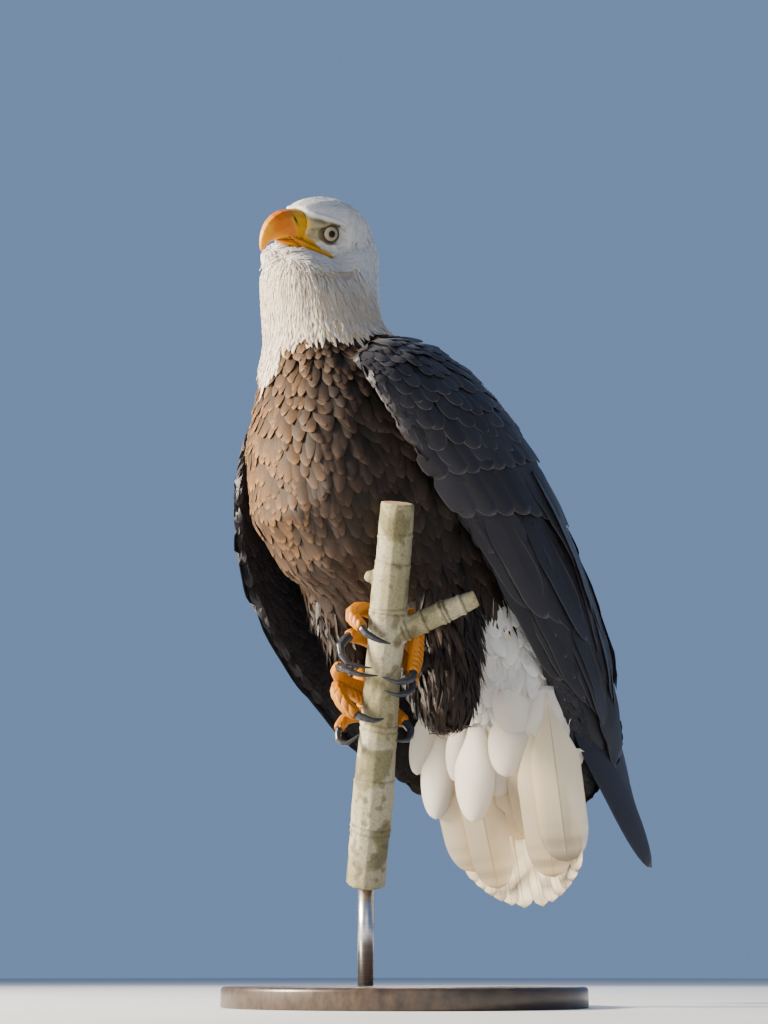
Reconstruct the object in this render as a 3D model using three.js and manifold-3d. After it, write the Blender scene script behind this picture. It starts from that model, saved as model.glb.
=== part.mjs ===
// Adult bald eagle, life size, gripping a short cut length of leaning branch on a display stand.
// Millimetres, +Z up. The bird faces -Y and its left side is +X. The origin is the centre of the
// base's underside. Feather-covered parts are solid out to the tips of their feathers.
import * as THREE from "three";
import { mergeVertices } from "three/addons/utils/BufferGeometryUtils.js";
import Module from "manifold-3d";

const wasm = await Module();
wasm.setup();

// ---- driving dimensions -------------------------------------------------------------------------
const GAP = 0.4; // clearance left between touching pieces
const FOOT_HEIGHT = 325; // height of the grip above the floor
const STEM_OFFSET = 65; // the branch is this far to the bird's left of its mid plane at the grip
const BASE = { radius: 185, thickness: 20, edge: 4, x: -4, y: 98 };
const ROD = { radius: 8, socket: 12 };
const STEM = { radius: 18.5, lowRadius: 20.5, top: 150, bottom: -205 };
const SIDE_BRANCH = { at: 27, radius: 10.5, tipRadius: 9, length: 98 };
const HEAD = { x: -3.5, y: -43, z: 503, yaw: 4, pitch: 19.5, roll: 30, scale: 1.05 };
const EYE = { side: 23.2, forward: 3, radius: 11.5 };
const TAIL = { length: 298, feathers: 12, spread: 21, width: 50, thickness: 2.6, tilt: 8.5, lean: 2.5 };
const TAIL_ROOT = { x: -5, y: 252, z: 72 };
const TOE_RADIUS = 7.6;
const CLAW_RADIUS = 4.3;
const WING_SIDES = 14; // corners round a wing's section
const DETAIL = 0.15; // shapes are simplified by no more than this

// Directions at the grip, which the branch and its side shoot are laid out in.
const TOWARDS = new THREE.Vector3(1, -1, 0).normalize();
const RIGHTWARD = new THREE.Vector3(1, 1, 0).normalize();
const UP = new THREE.Vector3(0, 0, 1);

const point = (x, y, z) => new THREE.Vector3(x, y, z);
const rad = THREE.MathUtils.degToRad;
const mix = THREE.MathUtils.lerp;

// ---- shape helpers ------------------------------------------------------------------------------
// A closed surface through rings of equal size, with a fan over each end.
function loft(rings) {
  const n = rings[0].length;
  const points = rings.flat();
  const first = points.length;
  const index = [];
  for (const ring of [rings[0], rings.at(-1)]) {
    points.push(ring.reduce((sum, p) => sum.add(p), point(0, 0, 0)).divideScalar(n));
  }
  for (let i = 0; i < n; i++) {
    const j = (i + 1) % n;
    const last = (rings.length - 1) * n;
    index.push(first, j, i, first + 1, last + i, last + j);
    for (let r = 0; r < last; r += n) {
      index.push(r + i, r + j, r + n + i, r + j, r + n + j, r + n + i);
    }
  }
  const geometry = new THREE.BufferGeometry().setFromPoints(points);
  geometry.setIndex(index);
  if (signedVolume(geometry) < 0) geometry.setIndex(index.reverse());
  return geometry;
}

function signedVolume(geometry) {
  const p = geometry.getAttribute("position");
  const [a, b, c] = [point(0, 0, 0), point(0, 0, 0), point(0, 0, 0)];
  let sum = 0;
  for (let i = 0; i < geometry.index.count; i += 3) {
    [a, b, c].forEach((v, k) => v.fromBufferAttribute(p, geometry.index.getX(i + k)));
    sum += a.dot(b.cross(c)) / 6;
  }
  return sum;
}

// A ring with its own half width and its own reach on either side, squarer as power rises above 2.
function ring(centre, side, up, halfWidth, reachUp, reachDown, sides, power = 2) {
  const bend = (v) => Math.sign(v) * Math.abs(v) ** (2 / power);
  return Array.from({ length: sides }, (_, i) => {
    const angle = (2 * Math.PI * i) / sides;
    const reach = Math.sin(angle) > 0 ? reachUp : reachDown;
    return centre
      .clone()
      .addScaledVector(side, halfWidth * bend(Math.cos(angle)))
      .addScaledVector(up, reach * bend(Math.sin(angle)));
  });
}

const oval = (centre, side, up, halfWidth, halfDepth, sides, power = 2) =>
  ring(centre, side, up, halfWidth, halfDepth, halfDepth, sides, power);

// Rows of numbers resampled smoothly, so that a few stations give a fair curve.
function resample(rows, steps) {
  const at = (i) => rows[Math.max(0, Math.min(rows.length - 1, i))];
  return Array.from({ length: steps + 1 }, (_, k) => {
    const t = (k / steps) * (rows.length - 1);
    const i = Math.min(Math.floor(t), rows.length - 2);
    const f = t - i;
    return rows[0].map((_, c) => {
      const [a, b, d, e] = [at(i - 1)[c], at(i)[c], at(i + 1)[c], at(i + 2)[c]];
      const [m, n] = [(d - a) / 2, (e - b) / 2];
      return (
        (2 * b - 2 * d + m + n) * f ** 3 + (3 * d - 3 * b - 2 * m - n) * f ** 2 + m * f + b
      );
    });
  });
}

// A round tube through points, each [x, y, z, radius], with rounded ends.
function tube(rows, steps, sides, grow = 0) {
  const stations = resample(rows, steps);
  const centres = stations.map(([x, y, z]) => point(x, y, z));
  const rings = [];
  let side = null;
  stations.forEach(([, , , radius], i) => {
    const along = centres[Math.min(i + 1, steps)].clone().sub(centres[Math.max(i - 1, 0)]).normalize();
    side ??= Math.abs(along.z) > 0.9 ? point(1, 0, 0) : point(0, 0, 1);
    side = side.clone().addScaledVector(along, -side.dot(along)).normalize();
    const up = along.clone().cross(side);
    const hoop = (centre, size) => oval(centre, side, up, size, size, sides);
    const full = hoop(centres[i], radius + grow);
    const end = i === 0 ? -1 : i === steps ? 1 : 0;
    if (!end) {
      rings.push(full);
      return;
    }
    // Each end is closed by a smaller ring pushed out, so that it is round and not a flat disc.
    const out = centres[i].clone().addScaledVector(along, end * (0.55 * radius + grow));
    const small = hoop(out, 0.6 * radius + grow);
    rings.push(...(end < 0 ? [small, full] : [full, small]));
  });
  return loft(rings);
}

// ---- solids -------------------------------------------------------------------------------------
function solidOf(geometry) {
  const bare = new THREE.BufferGeometry().setAttribute("position", geometry.getAttribute("position"));
  bare.setIndex(geometry.index);
  const merged = mergeVertices(bare, 1e-4);
  return new wasm.Manifold(
    new wasm.Mesh({
      numProp: 3,
      vertProperties: new Float32Array(merged.attributes.position.array),
      triVerts: new Uint32Array(merged.index.array),
    }),
  );
}

function geometryOf(solid) {
  const mesh = solid.getMesh();
  const position = new Float32Array(mesh.numVert * 3);
  for (let i = 0; i < mesh.numVert; i++) {
    position.set(mesh.vertProperties.subarray(i * mesh.numProp, i * mesh.numProp + 3), i * 3);
  }
  const geometry = new THREE.BufferGeometry();
  geometry.setAttribute("position", new THREE.BufferAttribute(position, 3));
  geometry.setIndex(new THREE.BufferAttribute(new Uint32Array(mesh.triVerts), 1));
  return geometry;
}

const join = (geometries) => geometries.map(solidOf).reduce((all, next) => all.add(next));
const largest = (solid) =>
  solid.decompose().reduce((best, next) => (next.volume() > best.volume() ? next : best));

// Everything on one side of a plane through a point: a box big enough to hold the bird.
function halfSpace(through, normal, offset = 0) {
  const size = 1600;
  const box = new THREE.BoxGeometry(size, size, size);
  box.translate(0, 0, size / 2 + offset);
  const turn = new THREE.Quaternion().setFromUnitVectors(UP, normal.clone().normalize());
  return solidOf(box.applyQuaternion(turn).translate(through.x, through.y, through.z));
}

// ---- torso: neck, trunk and the coverts round the tail's root --------------------------------------
// Each station is its centre, then half width, reach to the back and reach to the front.
const TORSO = [
  [-27, -26, 467, 36, 54, 42],
  [-17, -28, 449, 45, 72, 62],
  [-8, -32, 420, 52, 80, 71],
  [-2, -36, 390, 56, 88, 63],
  [0, -30, 354, 67, 94, 65],
  [0, -8, 314, 95, 102, 117],
  [0, 32, 264, 114, 114, 164],
  [0, 78, 212, 116, 126, 162],
  [0, 126, 160, 110, 118, 124],
  [0, 172, 108, 96, 94, 92],
  [0, 208, 62, 90, 68, 72],
  [0, 236, 16, 92, 44, 58],
  [0, 252, -30, 92, 26, 46],
  [0, 262, -76, 76, 14, 32],
  [0, 268, -112, 50, 6, 14],
];

function torso() {
  const stations = resample(TORSO, 16);
  return loft(
    stations.map(([x, y, z, halfWidth, back, front], i) => {
      const before = stations[Math.max(i - 1, 0)];
      const after = stations[Math.min(i + 1, stations.length - 1)];
      const along = point(0, after[1] - before[1], after[2] - before[2]).normalize();
      const backward = point(0, -along.z, along.y);
      return ring(point(x, y, z), point(1, 0, 0), backward, halfWidth, back, front, 18, 2.15);
    }),
  );
}

// ---- head -----------------------------------------------------------------------------------------
// Stations run back along the skull: distance behind the eyes, half width, top, bottom.
const SKULL = [
  [-34, 12, 19, -12],
  [-29, 21, 23, -20],
  [-17, 27, 28.5, -28],
  [-4, 33, 32, -35],
  [12, 37, 34, -40],
  [30, 39.5, 33.5, -46],
  [48, 39, 27, -47],
  [62, 32, 15, -44],
  [71, 18, 0, -32],
];

const inHead = new THREE.Matrix4().compose(
  point(HEAD.x, HEAD.y, HEAD.z),
  new THREE.Quaternion()
    .setFromAxisAngle(UP, rad(HEAD.yaw))
    .multiply(new THREE.Quaternion().setFromAxisAngle(point(1, 0, 0), rad(HEAD.pitch)))
    .multiply(new THREE.Quaternion().setFromAxisAngle(point(0, 1, 0), rad(HEAD.roll))),
  point(1, 1, 1).multiplyScalar(HEAD.scale),
);

function skull() {
  return loft(
    resample(SKULL, 10).map(([back, halfWidth, top, bottom]) => {
      const middle = mix(bottom, top, 0.55);
      const centre = point(0, back, middle);
      return ring(centre, point(1, 0, 0), UP, halfWidth, top - middle, middle - bottom, 14, 2.35);
    }),
  ).applyMatrix4(inHead);
}

// The thick feathers of the nape, from the back of the head to the shoulders.
function nape() {
  const rows = [
    [4, 4, 512, 23],
    [6, 12, 488, 26],
    [4, 4, 460, 34],
    [0, -6, 420, 46],
    [0, -12, 385, 56],
    [0, -8, 350, 58],
  ];
  return tube(rows, 8, 14);
}

// The feathered chin that fills the space under the lower bill.
function chin() {
  const rows = [
    [0, -22, -30, 16],
    [-2, -40, -31, 14],
    [-4, -55, -34, 11],
  ];
  return tube(rows, 4, 10).applyMatrix4(inHead);
}

// A long hollow under the brow, from the bill's side to behind the eye.
function browHollow(side) {
  const rows = [
    [side * 21, -27, -2, 5.5],
    [side * 28.5, -13, -1, 8],
    [side * 33, 0, -0.5, 12],
    [side * 41, 11, -1, 9],
  ];
  return tube(rows, 4, 8).applyMatrix4(inHead);
}

function eye(side, grow = 0) {
  const ball = new THREE.SphereGeometry(EYE.radius + grow, 12, 8);
  return ball.translate(side * EYE.side, -EYE.forward, -0.5).applyMatrix4(inHead);
}

// The upper bill: stations along its culmen, from the forehead down to the hooked tip. Each is the
// distance behind the eyes and height of the section's middle, its lean, half width and half depth.
const UPPER_BILL = [
  [-22, 2, -3, 18.2, 17.4],
  [-31, 2.5, 0, 16.5, 16.5],
  [-44, 2.5, 6, 13.4, 16],
  [-56, 0.5, 20, 10.8, 15],
  [-66, -4.5, 38, 8, 12.4],
  [-72.5, -12, 58, 5.4, 8.2],
  [-75, -20, 78, 3.3, 4.7],
  [-75, -27, 90, 1.1, 1.6],
];

function upperBill(grow = 0) {
  return loft(
    resample(UPPER_BILL, 10).map(([back, z, lean, halfWidth, halfDepth], i, all) => {
      const up = point(0, -Math.sin(rad(lean)), Math.cos(rad(lean)));
      const out = i === 0 ? grow : i === all.length - 1 ? -grow : 0;
      const centre = point(0, back + out, z);
      return oval(centre, point(1, 0, 0), up, halfWidth + grow, halfDepth + grow, 10, 2.25);
    }),
  ).applyMatrix4(inHead);
}

// The fleshy edge of the mouth, running back from the bill to under the eye.
function gape(side, grow = 0) {
  const rows = [
    [side * 10.5, -43, -9.5, 2.8],
    [side * 18, -32, -14.5, 3],
    [side * 25.5, -21, -18.5, 3.4],
    [side * 30.5, -7, -22, 3.2],
    [side * 32, 0, -23.5, 1.8],
  ];
  return tube(rows, 4, 6, grow).applyMatrix4(inHead);
}

function lowerBill(grow = 0) {
  const rows = [
    [10, -20, 21, 4.5],
    [-6, -18.5, 18.5, 6],
    [-22, -17, 14.5, 7],
    [-38, -16.5, 11, 6.2],
    [-52, -16.5, 7.5, 4.2],
    [-58, -16, 4, 2.4],
  ];
  return loft(
    resample(rows, 5).map(([back, z, halfWidth, halfDepth], i, all) => {
      const out = i === 0 ? grow : i === all.length - 1 ? -grow : 0;
      const centre = point(0, back + out, z);
      return oval(centre, point(1, 0, 0), UP, halfWidth + grow, halfDepth + grow, 8, 2.3);
    }),
  ).applyMatrix4(inHead);
}

// ---- wings ----------------------------------------------------------------------------------------
// Stations down the folded wing: leading edge x, y, z, then dorsal edge x, y, z, thickness and bulge.
// The left wing is held close, and the right one droops a little away from the flank.
const WINGS = {
  left: [
    [82, -62, 312, 46, 16, 366, 20, 8],
    [110, -60, 274, 56, 80, 358, 36, 24],
    [121, -26, 226, 60, 156, 324, 42, 34],
    [120, 44, 168, 58, 224, 268, 42, 38],
    [114, 136, 88, 56, 288, 190, 34, 36],
    [97, 238, -16, 56, 344, 98, 26, 30],
    [54, 322, -112, 58, 396, 4, 14, 20],
  ],
  right: [
    [-80, -50, 306, -48, 16, 366, 20, 10],
    [-96, -60, 262, -58, 86, 362, 36, 34],
    [-107, -60, 190, -60, 146, 318, 38, 46],
    [-110, -34, 100, -58, 204, 238, 32, 46],
    [-105, 44, 8, -56, 258, 144, 24, 36],
    [-95, 148, -68, -56, 300, 52, 16, 22],
    [-82, 240, -108, -58, 334, -26, 10, 12],
  ],
};
const PRIMARY_TIPS = { left: [70, 438, -174], right: [-58, 372, -140] };
const PRIMARIES = { count: 4, step: 26, width: 44, thickness: 2.2 };

function wing(side, grow = 0) {
  const outward = side === "left" ? 1 : -1;
  return loft(
    resample(WINGS[side], 12).map(([lx, ly, lz, dx, dy, dz, thickness, bulge], i, all) => {
      const lead = point(lx, ly, lz);
      const dorsal = point(dx, dy, dz);
      const chord = dorsal.clone().sub(lead);
      const along = point(...(i < all.length - 1 ? all[i + 1] : all[i]))
        .sub(point(...(i < all.length - 1 ? all[i] : all[i - 1])))
        .normalize();
      const normal = chord.clone().cross(along).normalize();
      if (normal.x * outward < 0) normal.negate();
      const ends = i === 0 ? -grow : i === all.length - 1 ? grow : 0;
      const stretch = chord.clone().normalize().multiplyScalar(grow);
      // No corner lies right on the edge, so that the edges are blunt and a grown copy clears them.
      return Array.from({ length: WING_SIDES }, (_, k) => {
        const angle = (Math.PI * (2 * k + 1)) / WING_SIDES;
        const share = (1 - Math.cos(angle)) / 2;
        const depth = (Math.sin(angle) * thickness) / 2 + Math.sign(Math.sin(angle)) * grow;
        return lead
          .clone()
          .addScaledVector(chord, share)
          .addScaledVector(stretch, Math.sign(share - 0.5))
          .addScaledVector(normal, 4 * share * (1 - share) * bulge + depth)
          .addScaledVector(along, ends);
      });
    }),
  );
}

// One feather as a thin blade from root to tip, bowed towards its face and rounded at the tip.
const BLADE_CORNERS = [[1, 1], [0, 1], [-1, 1], [-1, -1], [0, -1], [1, -1]];
const BLADE_EDGE = 0.8;
function blade(root, tip, face, width, thickness, grow = 0, roundFrom = 0.55) {
  const along = tip.clone().sub(root);
  const across = along.clone().cross(face).normalize();
  const out = across.clone().cross(along).normalize();
  const shares = [0, 0.45, 0.86, 0.96, 1];
  return loft(
    shares.map((share) => {
      const late = Math.max(0, (share - roundFrom) / (1 - roundFrom));
      const half = (width / 2) * mix(0.6, 1, Math.min(1, share * 2.4)) * Math.sqrt(1 - late ** 2.2 * 0.9);
      const end = share === 0 ? -grow : share === 1 ? grow : 0;
      const centre = root.clone().addScaledVector(along, share);
      centre.addScaledVector(along.clone().normalize(), end);
      return BLADE_CORNERS.map(([c, f]) =>
        centre
          .clone()
          .addScaledVector(across, c * (half + grow))
          .addScaledVector(out, f * ((c ? BLADE_EDGE : thickness) / 2 + grow) - 0.1 * half * c * c),
      );
    }),
  );
}

// The outer flight feathers' tips, stepped along the leading edge beyond the rest of the wing.
function primaries(side, grow = 0) {
  const stations = resample(WINGS[side], 20);
  const outward = side === "left" ? 1 : -1;
  const tip = point(...PRIMARY_TIPS[side]);
  const blades = [];
  for (let k = 0; k < PRIMARIES.count; k++) {
    const from = stations[16];
    const root = point(...from.slice(0, 3)).lerp(point(...from.slice(3, 6)), 0.16 + 0.2 * k);
    root.x += outward * 4;
    const end = tip.clone().lerp(root, (k * PRIMARIES.step) / tip.distanceTo(root));
    blades.push(blade(root, end, point(outward, 0.2, 0.1), PRIMARIES.width, PRIMARIES.thickness, grow));
  }
  return join(blades);
}

// ---- tail -----------------------------------------------------------------------------------------
// Twelve feathers in a shallow fan. The middle pair lies on the back and the outer ones under it.
function tail(grow = 0) {
  const root = point(TAIL_ROOT.x, TAIL_ROOT.y, TAIL_ROOT.z);
  const [tilt, lean] = [rad(TAIL.tilt), rad(TAIL.lean)];
  const down = point(Math.sin(lean), Math.sin(tilt), -Math.cos(tilt)).normalize();
  const face = point(0, -Math.cos(tilt), -Math.sin(tilt));
  const across = face.clone().cross(down);
  const feathers = Array.from({ length: TAIL.feathers }, (_, k) => {
    const share = (k - (TAIL.feathers - 1) / 2) / ((TAIL.feathers - 1) / 2);
    const angle = rad((TAIL.spread / 2) * share);
    const direction = down.clone().multiplyScalar(Math.cos(angle)).addScaledVector(across, Math.sin(angle));
    const lift = 9 * Math.abs(share);
    const from = root.clone().add(point(24 * share, 0, 0)).addScaledVector(face, lift);
    const to = from.clone().addScaledVector(direction, TAIL.length * (1 - 0.1 * share * share));
    return blade(from, to, face, TAIL.width, TAIL.thickness, grow, 0.8);
  });
  return join(feathers);
}

// ---- branch ---------------------------------------------------------------------------------------
// The branch leans forward and to the bird's left as it rises.
const STEM_AXIS = UP.clone().addScaledVector(RIGHTWARD, 0.09).addScaledVector(TOWARDS, 0.45);
const SHOOT_AXIS = point(0, 0, 0)
  .addScaledVector(RIGHTWARD, 0.9)
  .addScaledVector(UP, 0.35)
  .addScaledVector(TOWARDS, 0.2)
  .normalize();
const onStem = (height) => point(STEM_OFFSET, 0, 0).addScaledVector(STEM_AXIS, height);

// A point beside the branch: its angle round it from TOWARDS, its height along it and its radius.
function around(angle, height, radius) {
  const axis = STEM_AXIS.clone().normalize();
  const front = TOWARDS.clone().addScaledVector(axis, -TOWARDS.dot(axis)).normalize();
  const right = RIGHTWARD.clone().addScaledVector(axis, -RIGHTWARD.dot(axis)).normalize();
  return onStem(height)
    .addScaledVector(front, radius * Math.cos(rad(angle)))
    .addScaledVector(right, radius * Math.sin(rad(angle)));
}

function cutLog(rows, steps, sides, grow) {
  const stations = resample(rows, steps);
  const along = point(...rows.at(-1)).sub(point(...rows[0])).normalize();
  const side = point(1, 0, 0).addScaledVector(along, -along.x).normalize();
  const up = along.clone().cross(side);
  return loft(
    stations.map(([x, y, z, radius], i) => {
      const end = i === 0 ? -grow : i === steps ? grow : 0;
      const centre = point(x, y, z).addScaledVector(along, end);
      return ring(centre, side, up, radius + grow, radius + grow, radius + grow, sides);
    }),
  );
}

function branch(grow = 0) {
  const swell = [0, 0.4, 1.6, 0.2, 0, 0.5, 1.2, 0, 0];
  const stem = swell.map((extra, i) => {
    const share = i / (swell.length - 1);
    const height = mix(STEM.bottom, STEM.top, share);
    return [...onStem(height).toArray(), mix(STEM.lowRadius, STEM.radius - 1.5, share) + extra];
  });
  const root = onStem(SIDE_BRANCH.at);
  const shoot = [0, 0.3, 0.62, 1].map((share, i) => {
    const place = root.clone().addScaledVector(SHOOT_AXIS, SIDE_BRANCH.length * share);
    const radius = mix(SIDE_BRANCH.radius + 2, SIDE_BRANCH.tipRadius, share) + (i === 2 ? 1.4 : 0);
    return [...place.toArray(), radius];
  });
  const knot = tube(
    [
      [...around(-90, 78, 8).toArray(), 7.5],
      [...around(-90, 82, 23).toArray(), 6],
    ],
    2,
    10,
    grow,
  );
  return join([cutLog(stem, 9, 14, grow), cutLog(shoot, 4, 10, grow), knot]);
}

// ---- legs and feet ----------------------------------------------------------------------------------
const THIGHS = {
  left: [
    [46, 62, 196, 50],
    [48, 84, 130, 54],
    [50, 99, 66, 46],
    [49, 106, 10, 41],
    [49, 111, -32, 28],
  ],
  right: [
    [-46, 40, 196, 50],
    [-48, 48, 136, 52],
    [-48, 54, 84, 40],
    [-44, 60, 44, 27],
    [-40, 62, 20, 15],
  ],
};
const ANKLES = { left: [45, 106, 6], right: [-35, 62, 20] };

// Toes as [angle, height, radius] beside the branch, from the foot's sole to the claw's base, then
// the claw's way points to its tip. The first of each foot is the hind toe.
const FEET = {
  left: {
    sole: [158, 18, 30],
    toes: [
      {
        path: [[-176, 14, 29], [-128, 22, 31], [-88, 26, 36]],
        claw: [[-76, 18, 46], [-60, 5, 42], [-32, 1, 22]],
        size: 1.12,
      },
      {
        path: [[-178, 40, 29], [-118, 49, 31], [-84, 45, 36], [-54, 38, 31]],
        claw: [[-38, 33, 31], [-12, 28, 27], [14, 25, 20.5]],
        size: 1,
      },
      {
        path: [[150, 30, 30], [124, 47, 31], [108, 28, 32], [88, 8, 31], [74, -1, 31]],
        claw: [[58, -6, 33], [32, -9, 28], [0, -6, 21]],
        size: 1.02,
      },
      {
        path: [[150, 6, 30], [118, -2, 30], [86, -12, 30]],
        claw: [[64, -18, 32], [36, -21, 27.5], [6, -18, 21]],
        size: 0.92,
      },
    ],
  },
  right: {
    sole: [-150, -42, 30],
    toes: [
      {
        path: [[178, -46, 29], [150, -50, 29], [126, -54, 30]],
        claw: [[108, -60, 34], [86, -66, 30], [64, -66, 20.5]],
        size: 1.1,
      },
      {
        path: [[-146, -28, 31], [-116, -22, 41], [-94, -10, 46], [-78, -2, 45]],
        claw: [[-64, -1, 45], [-40, -4, 35], [-14, -5, 21.5]],
        size: 0.96,
      },
      {
        path: [[-142, -36, 32], [-108, -24, 44], [-84, -27, 44], [-64, -37, 37], [-50, -42, 31]],
        claw: [[-36, -43, 30], [-12, -45, 27], [12, -44, 21]],
        size: 1.02,
      },
      {
        path: [[-152, -52, 30], [-112, -54, 36], [-86, -60, 40]],
        claw: [[-74, -69, 41], [-60, -70, 34], [-46, -60, 25]],
        size: 0.86,
      },
    ],
  },
};

function toe({ path, size }, grow = 0) {
  const knuckled = path.map(([a, h, r], i) => {
    const radius = TOE_RADIUS * size * (i === 0 ? 1.12 : i === path.length - 1 ? 0.84 : 1);
    return [...around(a, h, r).toArray(), radius];
  });
  return tube(knuckled, 2 * path.length - 1, 7, grow);
}

function claw({ path, claw: way, size }, grow = 0) {
  const start = path.at(-1);
  const rows = [start, ...way].map(([a, h, r], i) => {
    const radius = CLAW_RADIUS * size * [1, 0.92, 0.62, 0.16][i];
    return [...around(a, h, r).toArray(), radius];
  });
  return tube(rows, 6, 6, grow);
}

function shank(side, grow = 0) {
  const [a, h, r] = FEET[side].sole;
  const sole = around(a, h, r);
  const ankle = point(...ANKLES[side]);
  const rows = [0, 0.3, 0.65, 1].map((share, i) => [
    ...sole.clone().lerp(ankle, share).toArray(),
    [11.5, 9, 9.2, 11][i],
  ]);
  return tube(rows, 4, 10, grow);
}

// ---- stand ------------------------------------------------------------------------------------------
const floor = -FOOT_HEIGHT;
const stemFoot = onStem(STEM.bottom);

function standBase() {
  const { radius, thickness, edge } = BASE;
  const outline = [
    [0, 0],
    [radius - edge / 2, 0],
    [radius, edge / 2],
    [radius, thickness - edge],
    [radius - edge, thickness],
    [0, thickness],
  ].map(([x, z]) => new THREE.Vector2(x, z));
  const disc = new THREE.LatheGeometry(outline, 32);
  disc.rotateX(Math.PI / 2).translate(BASE.x, BASE.y, floor);
  return disc;
}

function standRod(grow = 0) {
  const low = floor + BASE.thickness + GAP - grow;
  const high = stemFoot.z + ROD.socket + grow;
  const rod = new THREE.CylinderGeometry(ROD.radius + grow, ROD.radius + grow, high - low, 24);
  return rod.rotateX(Math.PI / 2).translate(stemFoot.x, stemFoot.y, (low + high) / 2);
}

// ---- pieces in order of precedence: each is cut back by those before it --------------------------------
const COLOURS = {
  white: [0xe9e6df, 0.85],
  brown: [0x4a3728, 0.85],
  dark: [0x2b2422, 0.8],
  bill: [0xe9a11d, 0.45],
  foot: [0xd99421, 0.6],
  claw: [0x25262a, 0.35],
  iris: [0xd9cfae, 0.1],
  bark: [0xb5ad90, 0.9],
  stand: [0x2a2420, 0.5],
  metal: [0x8a8c90, 0.35],
};

const whole = join([torso(), skull(), nape(), chin()]);
const neckAxis = point(-0.08, 0.35, -1);
const THROAT = point(0, -34, 447);
const COLLAR = point(0, -26, 352);
const VENT = point(0, 150, 98);
const collarAxis = point(0, 0.42, -1);
const ventAxis = point(0, 0.5, -1);

function between(above, aboveAxis, below, belowAxis) {
  let part = whole;
  if (above) part = part.intersect(halfSpace(above, aboveAxis, GAP / 2));
  if (below) part = part.intersect(halfSpace(below, belowAxis.clone().negate(), GAP / 2));
  return part;
}

const pieces = [];
function piece(name, colour, make) {
  pieces.push({ name, colour, full: make(0), grown: make(GAP) });
}
const asSolid = (shape) => (shape.getAttribute ? solidOf(shape) : shape);

piece("branch", "bark", (grow) => branch(grow));
piece("stand_rod", "metal", (grow) => standRod(grow));
piece("bill_upper", "bill", (grow) => join([upperBill(grow), gape(1, grow), gape(-1, grow)]));
piece("bill_lower", "bill", (grow) => lowerBill(grow));
for (const [side, sign] of [["left", 1], ["right", -1]]) {
  piece(`eye_${side}`, "iris", (grow) => eye(sign, grow));
}
for (const side of ["left", "right"]) {
  FEET[side].toes.forEach((shape, k) => {
    piece(`claw_${side}_${k + 1}`, "claw", (grow) => claw(shape, grow));
  });
}
for (const side of ["left", "right"]) {
  FEET[side].toes.forEach((shape, k) => {
    piece(`toe_${side}_${k + 1}`, "foot", (grow) => toe(shape, grow));
  });
  piece(`shank_${side}`, "foot", (grow) => shank(side, grow));
}
piece("tail", "white", (grow) => tail(grow));
for (const side of ["left", "right"]) {
  piece(`primaries_${side}`, "dark", (grow) => primaries(side, grow));
  piece(`wing_${side}`, "dark", (grow) => wing(side, grow));
}
for (const side of ["left", "right"]) {
  piece(`thigh_${side}`, "dark", (grow) => tube(THIGHS[side], 6, 12, grow));
}
const hollows = solidOf(browHollow(1)).add(solidOf(browHollow(-1)));
const skullAlone = between(null, null, THROAT, neckAxis).subtract(hollows);
pieces.push({ name: "head", colour: "white", full: skullAlone });
pieces.push({ name: "neck", colour: "white", full: between(THROAT, neckAxis, COLLAR, collarAxis) });
pieces.push({ name: "trunk", colour: "brown", full: between(COLLAR, collarAxis, VENT, ventAxis) });
pieces.push({ name: "rump", colour: "white", full: between(VENT, ventAxis, null, null) });

const apart = (a, b) => {
  const [p, q] = [a.boundingBox(), b.boundingBox()];
  return [0, 1, 2].some((k) => p.min[k] > q.max[k] || q.min[k] > p.max[k]);
};

const eagle = new THREE.Group();
function show(name, colour, geometry) {
  const [hex, roughness] = COLOURS[colour];
  const material = new THREE.MeshStandardMaterial({
    color: hex,
    roughness,
    metalness: colour === "metal" ? 1 : 0,
  });
  const mesh = new THREE.Mesh(geometry, material);
  mesh.name = name;
  mesh.position.set(-BASE.x, -BASE.y, -floor);
  eagle.add(mesh);
}

show("stand_base", "stand", standBase());
const cutters = [];
for (const { name, colour, full, grown } of pieces) {
  let solid = asSolid(full);
  for (const cutter of cutters) {
    if (!apart(solid, cutter)) solid = solid.subtract(cutter);
  }
  show(name, colour, geometryOf(largest(solid).simplify(DETAIL)));
  if (grown) cutters.push(name === "tail" ? asSolid(grown).hull() : asSolid(grown));
}

export default eagle;
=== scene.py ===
"""A life-size bald eagle as a still museum model: skin, feathers, bill, eyes, feet, perch and stand.

Shapes are worked out in the bird's own frame, in millimetres: its zero is beside the grip, the bird faces
-Y, its left side is +X. row() turns that into the frame's metres.
"""

import math

import bmesh
import bpy
import numpy as np
from mathutils import Matrix, Vector
from mathutils.bvhtree import BVHTree
from mathutils.kdtree import KDTree


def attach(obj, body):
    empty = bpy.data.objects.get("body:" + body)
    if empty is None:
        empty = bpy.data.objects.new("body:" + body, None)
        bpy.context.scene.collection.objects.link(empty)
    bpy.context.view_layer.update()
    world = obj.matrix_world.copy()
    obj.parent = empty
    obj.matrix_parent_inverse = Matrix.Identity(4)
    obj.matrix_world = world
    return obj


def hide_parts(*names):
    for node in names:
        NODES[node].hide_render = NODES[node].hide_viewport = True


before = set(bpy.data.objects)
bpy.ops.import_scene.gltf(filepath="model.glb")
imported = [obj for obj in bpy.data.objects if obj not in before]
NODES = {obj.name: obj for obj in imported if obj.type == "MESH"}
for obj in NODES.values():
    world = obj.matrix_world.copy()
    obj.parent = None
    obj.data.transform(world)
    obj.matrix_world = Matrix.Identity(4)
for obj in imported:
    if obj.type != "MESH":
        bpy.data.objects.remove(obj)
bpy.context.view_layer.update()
RNG = np.random.default_rng(11)

MM = 0.001
BIRD_ZERO = np.array([4.0, -98.0, 325.0])
SIDES = {"left": 1, "right": -1}


def row(points):
    return (np.asarray(points, float) + BIRD_ZERO) * MM


def bird(points):
    return np.asarray(points, float) / MM - BIRD_ZERO


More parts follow.
